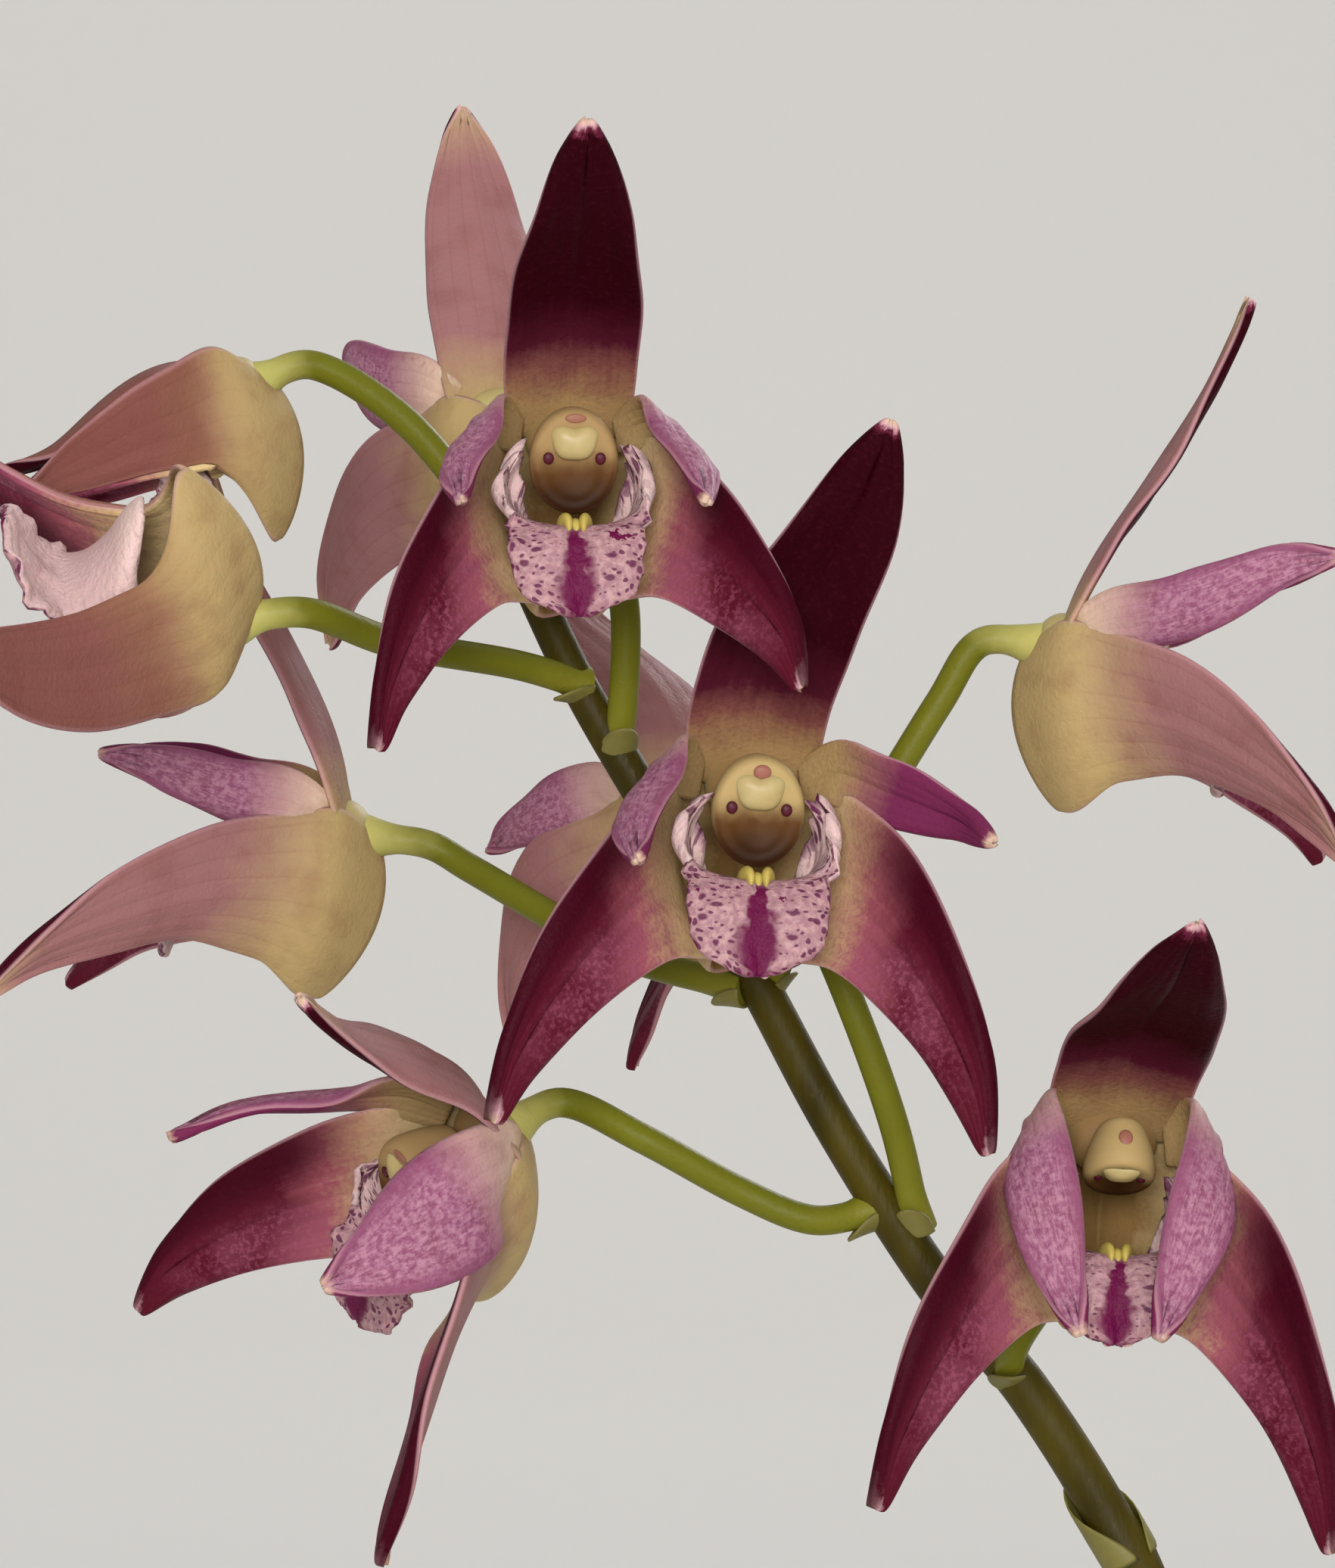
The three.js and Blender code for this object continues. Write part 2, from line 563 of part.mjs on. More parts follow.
function canePlace(cane, t) {
  const foot = V(cane.foot[0], cane.foot[1], BARK_SURFACE - CANE_DEPTH);
  const top = V(...cane.top);
  const bowed = smooth(0, 1, t) * 0.35 + t * t * 0.65;
  return V(
    foot.x + (top.x - foot.x) * bowed,
    foot.y + (top.y - foot.y) * bowed,
    foot.z + (top.z - foot.z) * t);
}

function caneRadius(cane, t) {
  return Math.max(cane.radius * along(CANE_OUTLINE, t)[0], CANE_TOP_RADIUS);
}

function addCanes() {
  CANES.forEach((cane, n) => {
    const middle = (t) => canePlace(cane, t);
    const radii = (t) => [caneRadius(cane, t), caneRadius(cane, t)];
    addPiece(`cane_${n + 1}`, 'cane', body(middle, radii, 8, 10, V(1, 0, 0)));
  });
}

// Potting bark: a fill inside the pot, with chips standing out of it and a hole for each cane
function barkChip(draw) {
  const distance = Math.sqrt(draw()) * (innerRadius(BARK_SURFACE) - CHIP_LONG * 0.62);
  const angle = draw() * 2 * Math.PI;
  const chip = new THREE.BoxGeometry(
    CHIP_LONG * (0.6 + 0.4 * draw()),
    CHIP_WIDE * (0.6 + 0.4 * draw()),
    CHIP_THICK * (0.7 + 0.5 * draw()));
  chip.rotateX((2 * draw() - 1) * CHIP_TILT);
  chip.rotateY((2 * draw() - 1) * CHIP_TILT);
  chip.rotateZ(draw() * Math.PI);
  chip.translate(distance * Math.cos(angle), distance * Math.sin(angle), BARK_SURFACE - 1 + 2 * draw());
  return chip;
}

// The hole that a cane stands in, from just under its foot to above the bark
function caneHole(cane) {
  const share = (t) => 0.3 * t - 0.004;
  const middle = (t) => canePlace(cane, share(t));
  const radii = (t) => {
    const wide = caneRadius(cane, Math.max(share(t), 0)) + 2 * FIT;
    return [wide, wide];
  };
  return body(middle, radii, 8, 4, V(1, 0, 0));
}

function addBark() {
  const low = POT_FLOOR + FIT;
  const fill = turned([
    [0, low],
    [innerRadius(low) - FIT, low],
    [innerRadius(BARK_SURFACE - 4) - FIT, BARK_SURFACE - 4],
    [innerRadius(BARK_SURFACE) * 0.6, BARK_SURFACE],
    [0, BARK_SURFACE + 1],
  ], BARK_SIDES);
  const draw = seededDraw(BARK_SEED);
  let solid = toSolid(fill);
  for (let n = 0; n < BARK_CHIPS; n += 1) {
    solid = solid.add(toSolid(barkChip(draw)));
  }
  for (const cane of CANES) {
    solid = solid.subtract(toSolid(caneHole(cane)));
  }
  addPiece('potting_bark', 'bark', outerSurface(toGeometry(solid)));
}

// Leaves: the cane each grows on, how far below its top, the way it points round the cane,
// its length, and its rise where it leaves the cane and at its tip
const LEAVES = [
  { cane: 1, below: 3, round: 195, long: 96, rise: 48, tip: -12 },
  { cane: 1, below: 12, round: 20, long: 104, rise: 44, tip: -20 },
  { cane: 1, below: 24, round: 285, long: 92, rise: 36, tip: -28 },
  { cane: 2, below: 2, round: 120, long: 100, rise: 62, tip: 12 },
  { cane: 2, below: 11, round: 300, long: 84, rise: 48, tip: -22 },
  { cane: 2, below: 22, round: 190, long: 98, rise: 42, tip: -16 },
  { cane: 3, below: 2, round: 330, long: 98, rise: 58, tip: 4 },
  { cane: 3, below: 12, round: 240, long: 86, rise: 40, tip: -26 },
  { cane: 3, below: 23, round: 60, long: 90, rise: 40, tip: -20 },
  { cane: 4, below: 2, round: 255, long: 94, rise: 52, tip: -6 },
  { cane: 4, below: 12, round: 160, long: 88, rise: 44, tip: -22 },
  { cane: 4, below: 23, round: 340, long: 80, rise: 34, tip: -30 },
  { cane: 5, below: 2, round: 45, long: 98, rise: 60, tip: 8 },
  { cane: 5, below: 12, round: 130, long: 88, rise: 42, tip: -22 },
  { cane: 5, below: 23, round: 350, long: 92, rise: 36, tip: -24 },
];
const LEAF_WIDTH = 25;
const LEAF_THICK = 1;
const LEAF_ROOM = 0.9;
const LEAF_OUTLINE = [[0.2], [0.55], [0.85], [1], [0.98], [0.78], [0.44], [0.05]];
const LEAF_FOLD = 0.16;

function leafSheet(leaf) {
  const cane = CANES[leaf.cane - 1];
  const height = cane.top[2] - (BARK_SURFACE - CANE_DEPTH);
  const t0 = 1 - leaf.below / height;
  const round = THREE.MathUtils.degToRad(leaf.round);
  const outward = V(Math.cos(round), Math.sin(round), 0);
  const across = V(Math.sin(round), -Math.cos(round), 0);
  const start = canePlace(cane, t0).addScaledVector(outward, caneRadius(cane, t0) + LEAF_ROOM);
  const rise = THREE.MathUtils.degToRad(leaf.rise);
  const turn = THREE.MathUtils.degToRad(leaf.tip - leaf.rise);
  return (u, t) => {
    const angle = rise + turn * t;
    const out = (leaf.long * (Math.sin(angle) - Math.sin(rise))) / turn;
    const up = (leaf.long * (Math.cos(rise) - Math.cos(angle))) / turn;
    const half = (LEAF_WIDTH / 2) * along(LEAF_OUTLINE, t)[0];
    const fold = LEAF_FOLD * half * u * u;
    return start.clone()
      .addScaledVector(outward, out - fold * Math.sin(angle))
      .addScaledVector(across, half * u)
      .add(V(0, 0, up + fold * Math.cos(angle)));
  };
}

function addLeaves() {
  LEAVES.forEach((leaf, n) => {
    addPiece(`leaf_${n + 1}`, 'leaf', blade(leafSheet(leaf), 2, 7, LEAF_THICK));
  });
}

addPot();
addBark();
addCanes();
addLeaves();
addRaceme();

export default plant;
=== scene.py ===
import json
import math

import bpy
import numpy as np
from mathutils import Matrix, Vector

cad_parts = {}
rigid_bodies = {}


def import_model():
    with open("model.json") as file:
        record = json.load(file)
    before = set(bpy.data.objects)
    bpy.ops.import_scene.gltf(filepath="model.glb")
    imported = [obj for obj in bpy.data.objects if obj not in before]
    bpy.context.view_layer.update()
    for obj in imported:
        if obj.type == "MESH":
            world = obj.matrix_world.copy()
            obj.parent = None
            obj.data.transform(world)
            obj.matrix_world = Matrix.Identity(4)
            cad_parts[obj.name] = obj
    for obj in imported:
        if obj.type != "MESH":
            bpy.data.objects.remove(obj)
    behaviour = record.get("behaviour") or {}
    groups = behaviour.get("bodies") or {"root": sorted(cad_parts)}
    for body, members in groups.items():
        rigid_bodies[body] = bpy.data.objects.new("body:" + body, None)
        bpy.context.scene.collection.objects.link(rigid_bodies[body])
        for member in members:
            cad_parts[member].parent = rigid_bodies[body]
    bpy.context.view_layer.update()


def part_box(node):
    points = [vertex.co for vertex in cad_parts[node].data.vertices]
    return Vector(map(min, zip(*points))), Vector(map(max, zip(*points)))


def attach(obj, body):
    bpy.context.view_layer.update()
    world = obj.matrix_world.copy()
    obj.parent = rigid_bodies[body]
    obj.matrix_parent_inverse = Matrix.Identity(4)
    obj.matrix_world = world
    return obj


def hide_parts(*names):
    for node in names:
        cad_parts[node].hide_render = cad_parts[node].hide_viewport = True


bl_info = {
    "name": "Potted dendrobium",
    "version": (1, 0, 0),
    "blender": (4, 5, 0),
    "location": "View3D > Sidebar > Orchid",
    "description": "Dresses a potted dendrobium: pot, bark, canes, leaves, flower stem and blooms",
    "category": "Object",
}

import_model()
MM = 0.001

# Picture: its size, its scale at the raceme, and the place and distance that it is seen from
PICTURE_SIZE = (1764, 2072)
PIXELS_PER_MM = 22
VIEW_DISTANCE = 360
RACEME_CENTRE = np.array([-42.0, 0.0, 405.0])
SENSOR_WIDTH = 36
CLIP = (0.01, 100)

# Stage, in metres: the floor's curved rise and its wall, and each light's kind, place and size
COVE_RADIUS = 2.0
WALL_HEIGHT = 5.0
FLOOR_SIDES = 96
LIGHTS = {
    "key": ("SPOT", (-0.12, -1.25, 0.6), 0.5),
    "fill": ("SPOT", (0.55, -1.2, 0.42), 0.8),
    "rim": ("AREA", (0.5, 1.0, 1.0), 0.6),
    "backdrop": ("AREA", (0, 2.6, 3.0), 2.0),
}
BACKDROP_AIM = np.array([0, 6, 0.8])
SPOT_ANGLE = 80
SPOT_BLEND = 0.7
SKY_STRENGTH = 0.7

# Blades: how squarely their thickness ends at the margins and at both ends, and how their steps
# share between even spacing and spacing that closes up towards the ends
MARGIN_SQUARENESS = 8
END_SQUARENESS = 24
EVEN_SHARE = 0.55
EASED_SHARE = 0.45

# Steps across and along each kind of blade
LATERAL_STEPS = (36, 108)
DORSAL_STEPS = (28, 48)
PETAL_STEPS = (20, 36)
LIP_STEPS = (56, 64)
LEAF_STEPS = (32, 72)
CLASP_STEPS = (36, 12)
PAPER_STEPS = (64, 16)
BRACT_STEPS = (12, 14)
SCALE_STEPS = (24, 12)
CHIP_STEPS = (3, 5)

# Thickness of the blades that have no setting for it, in millimetres
LIP_THICKNESS = 0.55
CLASP_THICKNESS = 0.35
PAPER_THICKNESS = 0.12
BRACT_THICKNESS = 0.22
SCALE_THICKNESS = 0.2

# Round forms: how far from its pole, as an angle, an ellipsoid's first ring stands, the radius
# that stands for none at a middle, and where a stem's round end begins and how long it is
POLE_ANGLE = 0.04
NO_RADIUS = 0.01
END_START = 0.985
END_LENGTH = 0.015

# Bloom, in its own frame in millimetres: right, up and forward out of its face.
# Each rib of the lateral sepals runs from the upper edge over the middle to the lower edge.
LATERAL_RIBS = [
    [0, 0.6, -0.2, 0, -4.4, -1.1, 0, -9.7, 1.5],
    [3.0, 1.9, 1.6, 3.4, -4.4, 1.4, 1.5, -9.8, 2.9],
    [4.6, 1.2, 4.4, 4.3, -4.5, 4.6, 2.2, -8.9, 5.1],
    [7.7, -0.6, 8.8, 6.5, -5.2, 8.5, 4.4, -8.1, 8.8],
    [10.4, -4.3, 12.9, 9.4, -7.7, 12.7, 7.8, -9.7, 12.6],
    [12.2, -9.0, 15.9, 11.5, -10.5, 15.9, 10.4, -11.9, 15.7],
    [12.6, -13.4, 17.9, 12.4, -13.6, 17.8, 12.1, -13.8, 17.6],
]
LATERAL_ROOT = np.array([3.2, -4.4, 2.5])
DORSAL_LINE = [[0, 0.6, 1.4], [0, 5.2, 3.9], [0, 10.2, 7.3], [0, 15.6, 10.6], [0, 21.4, 13.1]]
DORSAL_WIDTH = 7.9
DORSAL_OUTLINE = [[0.86], [0.95], [0.99], [1], [0.95], [0.85], [0.68], [0.42], [0.04]]
DORSAL_CUP = 1.0
DORSAL_FLAT = [[1, 0, 0], [1, 0, 0]]
PETAL_LINE = [[2.8, 0.8, 2.2], [4.4, 1.8, 4.8], [5.6, 0.8, 8.4], [6.3, -0.6, 12.2], [6.2, -1.9, 15.8]]
PETAL_WIDTH = 4.0
PETAL_OUTLINE = [[0.6], [0.85], [1], [0.96], [0.76], [0.44], [0.04]]
PETAL_CUP = 0.5
PETAL_FLAT = [[0.1, 0.99, 0], [0, 0.97, 0.1]]
RECEPTACLE_PLACE = np.array([0, 0.5, 1.6])
RECEPTACLE_RADII = np.array([2.5, 1.9, 1.7])
JOINT_PLACE = np.array([0, 0.3, 0.6])
JOINT_APPROACH = np.array([0, 0.6, -3.4])

# Lip: rows from its claw to its tip, each a part of an ellipse's lower arc: its lowest point's
# height and forward place, its half-width and half-height, and its half-angle
LIP_ROWS = [
    [-8.1, 4.0, 0.8, 0.3, 90],
    [-7.2, 5.0, 2.2, 1.6, 110],
    [-5.9, 6.1, 3.5, 3.0, 122],
    [-5.0, 7.2, 4.1, 3.4, 134],
    [-4.3, 8.3, 4.3, 2.3, 114],
    [-4.1, 9.3, 3.9, 0.7, 84],
    [-4.9, 10.4, 4.0, -0.3, 80],
    [-6.9, 11.2, 3.2, -0.8, 80],
    [-8.8, 11.4, 0.3, 0, 80],
]
LIP_CLAW = np.array([0, -8.1, 4.0])

# Callus: each keel's place across the lip and its height as a share, and the keels' greatest
# height and half-width; along the lip they run from first to last and are thickest in between
CALLUS_KEELS = [(-0.075, 1.0), (0, 0.7), (0.075, 1.0)]
CALLUS_RISE = 1.2
CALLUS_WIDTH = 0.38
CALLUS_FIRST, CALLUS_THICKEST, CALLUS_LAST = 0.24, 0.5, 0.66
CALLUS_BEHIND, CALLUS_AHEAD = 0.26, 0.16

# Column: rings from its back over its rim into its hollow front, each the half-width and
# half-height of an ellipse and the height and forward place of its middle
COLUMN_RINGS = [
    [0.04, 0.05, 0.4, 3.7],
    [1.4, 1.8, 0.4, 3.8],
    [2.1, 2.6, 0.1, 5.0],
    [2.5, 3.0, -0.15, 6.3],
    [2.56, 3.05, -0.25, 7.0],
    [2.46, 2.95, -0.3, 7.4],
    [2.22, 2.68, -0.32, 7.6],
    [1.8, 2.2, -0.4, 7.58],
    [1.1, 1.4, -0.7, 7.35],
    [0.03, 0.04, -0.9, 7.2],
]
COLUMN_ROOT = np.array([0, 0.4, 3.7])
COLUMN_TILT_ROOM = np.array([0, 2, 1.7])
CAP_PLACE = np.array([0, 0.85, 7.45])
CAP_RADII = np.array([1.3, 1.0, 0.62])
DOT_PLACE = np.array([1.5, -0.05, 7.62])
DOT_RADII = np.array([0.32, 0.36, 0.13])
MARK_PLACE = np.array([0.05, 2.25, 7.62])
MARK_RADII = np.array([0.62, 0.28, 0.1])
COLUMN_STEPS, COLUMN_SIDES = 44, 40
COLUMN_HALF_HEIGHT = 3
CAP_SQUARENESS = 3.2
CAP_FLARE = 0.2
CAP_NOTCH_DEPTH = 0.22
CAP_NOTCH_WIDTH = 0.28

# The ten blooms. Each has the picture place and depth of its pedicel's joint, the way it faces as
# turn, nod and lean in degrees, its size, and its pedicel's route from the stem by the picture.
# A single tepal's bends are swing, lift, roll and twist in degrees, long, wide and cup as shares of
# the common form, and start, the place along it where the bend begins. notch and shut fold the
# lateral sepals inwards, lip and column are sizes, and tilt turns the column up, in degrees.
# brown and fair are shares of the second colour outside and on the column, and mark and mark_size
# are the place and the half-sizes of the rosy mark on the column.
BLOOMS = [
    dict(name="a", joint=(747, 590, -8), turn=5, nod=8, lean=0, size=1,
         dorsal=dict(lift=-8),
         left_sepal=dict(swing=-2, lift=-12, long=0.95), right_sepal=dict(swing=2, lift=3, long=0.93),
         left_petal=dict(swing=3, twist=70, wide=0.9), right_petal=dict(swing=3, twist=70, wide=0.9),
         route=[(815, 985, 0), (823, 930, -1), (825, 800, -2), (795, 680, -3)]),
    dict(name="b", joint=(985, 1048, -6), turn=5, nod=6, lean=3, size=1.06, fair=0.6,
         mark=(0.05, 1.95, 7.62), mark_size=(0.5, 0.42, 0.14),
         dorsal=dict(lift=5, roll=15),
         left_sepal=dict(swing=7, lift=-14), right_sepal=dict(swing=2, lift=-16),
         left_petal=dict(swing=6, roll=10, twist=70), right_petal=dict(swing=27, lift=5),
         route=[(1212, 1622, 0), (1182, 1489, -2), (1127, 1333, -3), (1060, 1180, -2)]),
    dict(name="c", joint=(1463, 1512, -9), turn=2, nod=8, lean=4, size=1.08, lip=0.88, tilt=56,
         column=0.76, fair=0.5, mark=(0.05, 2.75, 5.6), mark_size=(0.5, 0.2, 0.6),
         dorsal=dict(lift=-22, roll=3, start=-0.4),
         left_sepal=dict(lift=-20, long=0.96), right_sepal=dict(swing=-3, lift=-20),
         left_petal=dict(swing=-20, lift=-26, twist=60, wide=1.15),
         right_petal=dict(swing=-22, lift=-26, twist=60, wide=1.15),
         route=[(1330, 1812, 0), (1345, 1770, -3), (1387, 1702, -5), (1430, 1600, -5)]),
    dict(name="d", joint=(1370, 862, 4), turn=88, nod=0, lean=0, size=1, lip=0.95, notch=0.2,
         dorsal=dict(cup=0.3),
         left_petal=dict(lift=28, long=1.2), right_petal=dict(lift=28, long=1.2),
         left_sepal=dict(lift=3), right_sepal=dict(lift=3),
         route=[(1010, 1300, 0), (1080, 1180, 3), (1156, 1065, 4), (1240, 930, 4)]),
    dict(name="e", joint=(350, 512, 4), turn=-90, nod=14, lean=0, size=0.95, lip=0.72,
         column=0.68, notch=1.1, shut=0.4, brown=1,
         dorsal=dict(lift=-67, start=-0.7, long=0.7, cup=1.2),
         left_sepal=dict(lift=32, swing=-32, long=0.75),
         right_sepal=dict(lift=32, swing=-32, long=0.75),
         left_petal=dict(lift=-15, swing=-18, long=0.55, wide=0.8, start=-0.6),
         right_petal=dict(lift=-15, swing=-18, long=0.55, wide=0.8, start=-0.6),
         route=[(690, 750, 0), (640, 680, 2), (534, 555, 3)]),
    dict(name="f", joint=(322, 812, -14), turn=-90, nod=10, lean=-146, size=1.06,
         notch=0.8, shut=0.3, brown=0.9,
         dorsal=dict(lift=-66, start=-0.5, long=0.85, cup=2),
         left_sepal=dict(swing=12), right_sepal=dict(swing=-4, lift=4),
         left_petal=dict(swing=-6, lift=5, long=0.55, start=-0.6),
         right_petal=dict(swing=-6, lift=5, long=0.55, start=-0.6),
         route=[(770, 905, 0), (680, 878, -3), (522, 850, -9)]),
    dict(name="g", joint=(486, 1115, 13), turn=-94, nod=-10, lean=0, size=1.04, lip=0.95, notch=0.2,
         dorsal=dict(lift=-2),
         left_sepal=dict(lift=5), right_sepal=dict(lift=7),
         left_petal=dict(lift=20), right_petal=dict(lift=19),
         route=[(985, 1305, 0), (843, 1269, 4), (745, 1220, 8), (624, 1149, 12)]),
    dict(name="h", joint=(677, 1498, -2), turn=-60, nod=21, lean=33, size=1.06, lip=0.9,
         dorsal=dict(lift=-8, long=0.86),
         left_petal=dict(lift=10, swing=14, twist=50, long=1.12),
         right_petal=dict(twist=50, swing=-4, lift=12, wide=1.9, start=-0.5),
         route=[(1150, 1600, 0), (1073, 1612, -1), (977, 1574, -1), (850, 1505, -2)]),
    dict(name="i", joint=(672, 560, 18), turn=-165, nod=0, lean=0, size=1, lip=0.85,
         left_sepal=dict(swing=-18), right_sepal=dict(swing=-18),
         left_petal=dict(lift=10, wide=1.4, long=1.15), right_petal=dict(lift=26, wide=1.4, long=1.15),
         route=[(700, 770, 0), (690, 720, 6), (680, 650, 11)]),
    dict(name="j", joint=(925, 1085, 10), turn=-150, nod=0, lean=0, size=1, lip=0.8,
         dorsal=dict(lift=-20),
         left_sepal=dict(swing=-26, lift=-10), right_sepal=dict(swing=-38, lift=-14),
         route=[(905, 1140, 0), (915, 1110, 3)]),
]

# Flower stem, from the tallest cane's top, and then by the picture up to the raceme's end
PEDUNCLE_LINE = [[11, 0, 259.3], [10, 0, 284], [5, 0, 311], [-3, 0, 337]]
RACHIS_SEEN = [(1502, 2072, 0), (1361, 1842, 0), (1240, 1700, 0), (1104, 1489, 0), (985, 1270, 0),
               (850, 1050, 0), (765, 905, 0), (700, 770, 0), (680, 730, 0)]
STEM_STEPS = 180
STEM_RINGS = (0.12, 0.22, 0.34)
PEDICEL_STEPS = 70

# Canes: the bark's surface, how deep they stand in it, and where each stands, where its top is and
# its widest half-width; then their joints, rings and outline from foot to top
BARK_SURFACE = 90
CANE_DEPTH = 14
CANES = [
    dict(foot=(6, 2), top=(11, 0, 259), radius=6.4),
    dict(foot=(-14, 12), top=(-32, 26, 214), radius=7.2),
    dict(foot=(21, -12), top=(42, -26, 206), radius=7.0),
    dict(foot=(-6, -21), top=(-16, -48, 184), radius=6.8),
    dict(foot=(22, 22), top=(46, 46, 192), radius=6.6),
    dict(foot=(-29, -6), top=(-62, -16, 160), radius=7.4),
]
CANE_TOP_RADIUS = 3
CANE_STEPS, CANE_SIDES = 150, 54
JOINT_WAIST, JOINT_SWELL = 0.93, 0.07
SHEATHED_SHARE = 0.72
RINGED_SHARE = 0.98
RING_THICKNESS = 0.085
CANE_OUTLINE = [[0.62], [0.8], [1], [0.98], [0.88], [0.76], [0.66], [0.58], [0.5], [0.44]]

# Leaves: the cane each grows on, how far below its top, the way it points round the cane in
# degrees, its length, and its rise in degrees where it leaves the cane and at its tip
LEAVES = [
    (1, 3, 195, 96, 48, -12), (1, 12, 20, 104, 44, -20), (1, 24, 285, 92, 36, -28),
    (2, 2, 120, 100, 62, 12), (2, 11, 300, 84, 48, -22), (2, 22, 190, 98, 42, -16),
    (3, 2, 330, 98, 58, 4), (3, 12, 240, 86, 40, -26), (3, 23, 60, 90, 40, -20),
    (4, 2, 255, 94, 52, -6), (4, 12, 160, 88, 44, -22), (4, 23, 340, 80, 34, -30),
    (5, 2, 45, 98, 60, 8), (5, 12, 130, 88, 42, -22), (5, 23, 350, 92, 36, -24),
]
LEAF_OUTLINE = [[0.2], [0.55], [0.85], [1], [0.98], [0.78], [0.44], [0.05]]
LEAF_ROOM = 0.9
LEAF_FOLD = 0.16
CLASP_BELOW, CLASP_LENGTH = 7, 9.5

# Pot and bark, in millimetres: the foot's radius, the drain holes, and the chips' tilts and sizes.
# The holes' first side is turned a little, so that none of their corners falls on an edge.
POT_FOOT = 46.0
DRAIN_COUNT = 3
DRAIN_REACH = 26
DRAIN_RADIUS = 5.0
DRAIN_SIDES = 28
DRAIN_SPAN = (-8, 20)
DRAIN_ASIDE = (1, 0.1, 0)
BED_SIDES = 64
CHIP_KINDS = 6
CHIP_TILT = (0.75, 0.6, math.pi)
CHIP_SIZES = (0.4, 1.0)


# Numbers

def linear(red, green, blue):
    """A screen colour, each part from 0 to 255, as the linear values that shaders take."""
    parts = [value / 255 for value in (red, green, blue)]
    return tuple(round(p / 12.92 if p <= 0.04045 else ((p + 0.055) / 1.055) ** 2.4, 4) for p in parts)


def along(rows, t):
    """Smooth values between the given rows of a list, for an array of places from 0 to 1."""
    rows = np.asarray(rows, dtype=float)
    last = len(rows) - 1
    place = np.clip(t, 0, 1) * last
    low = np.minimum(np.floor(place).astype(int), last - 1)
    f = (place - low)[..., None]
    a, b, c, d = (rows[np.clip(low + step, 0, last)] for step in (-1, 0, 1, 2))
    slope = (c - a) * f
    bow = (2 * a - 5 * b + 4 * c - d) * f ** 2
    return 0.5 * (2 * b + slope + bow + (3 * b - a - 3 * c + d) * f ** 3)


def smooth(low, high, value):
    """Rises smoothly from 0 to 1 as the value goes from low to high."""
    x = np.clip((np.asarray(value, dtype=float) - low) / (high - low), 0, 1)
    return x * x * (3 - 2 * x)


def unit(vectors):
    """The vectors, each made one long."""
    return vectors / np.maximum(np.linalg.norm(vectors, axis=-1, keepdims=True), 1e-9)


def dot(a, b):
    """The products of paired vectors, kept as a last axis of one."""
    return np.sum(a * b, axis=-1, keepdims=True)


def turned(points, axis, angle):
    """Points turned about the frame's axis 0, 1 or 2 by an angle for each."""
    i, j = [(1, 2), (2, 0), (0, 1)][axis]
    cosine, sine = np.cos(angle), np.sin(angle)
    result = np.array(points, dtype=float)
    result[..., i] = points[..., i] * cosine - points[..., j] * sine
    result[..., j] = points[..., i] * sine + points[..., j] * cosine
    return result


def seen_at(px, py, depth):
    """A place in the picture, at a depth behind the raceme's plane, as a point of the plant."""
    mm = (1 + depth / VIEW_DISTANCE) / PIXELS_PER_MM
    across, up = (px - PICTURE_SIZE[0] / 2) * mm, (PICTURE_SIZE[1] / 2 - py) * mm
    return RACEME_CENTRE + np.array([across, depth, up])


def eased(count, low, high):
    """Places from low to high that lie closer together towards both ends."""
    even = np.linspace(0, 1, count + 1)
    return low + (high - low) * (EVEN_SHARE * even + EASED_SHARE * (1 - np.cos(np.pi * even)) / 2)


def dip(value, width):
    """1 where the value is 0, and falling away smoothly to both sides."""
    return np.exp(-(value / width) ** 2)


def rounded_end(t):
    """A share of the radius that stays 1 and then closes over the last part of a stem."""
    return np.sqrt(np.clip(1 - np.clip((t - END_START) / END_LENGTH, 0, 1) ** 2, 0.02, 1))


# Closed forms

class Form:
    """A closed form: its points, its faces, and the values that its finish reads."""

    def __init__(self, points, faces, across, places, inside, finish=0):
        self.points = points
        self.faces = faces
        self.across = across
        self.along = places
        self.inside = inside
        self.finish = finish

    def placed(self, matrix, origin):
        """The form, taken into the plant's frame."""
        points = self.points @ np.asarray(matrix).T + origin
        return Form(points, self.faces, self.across, self.along, self.inside, self.finish)


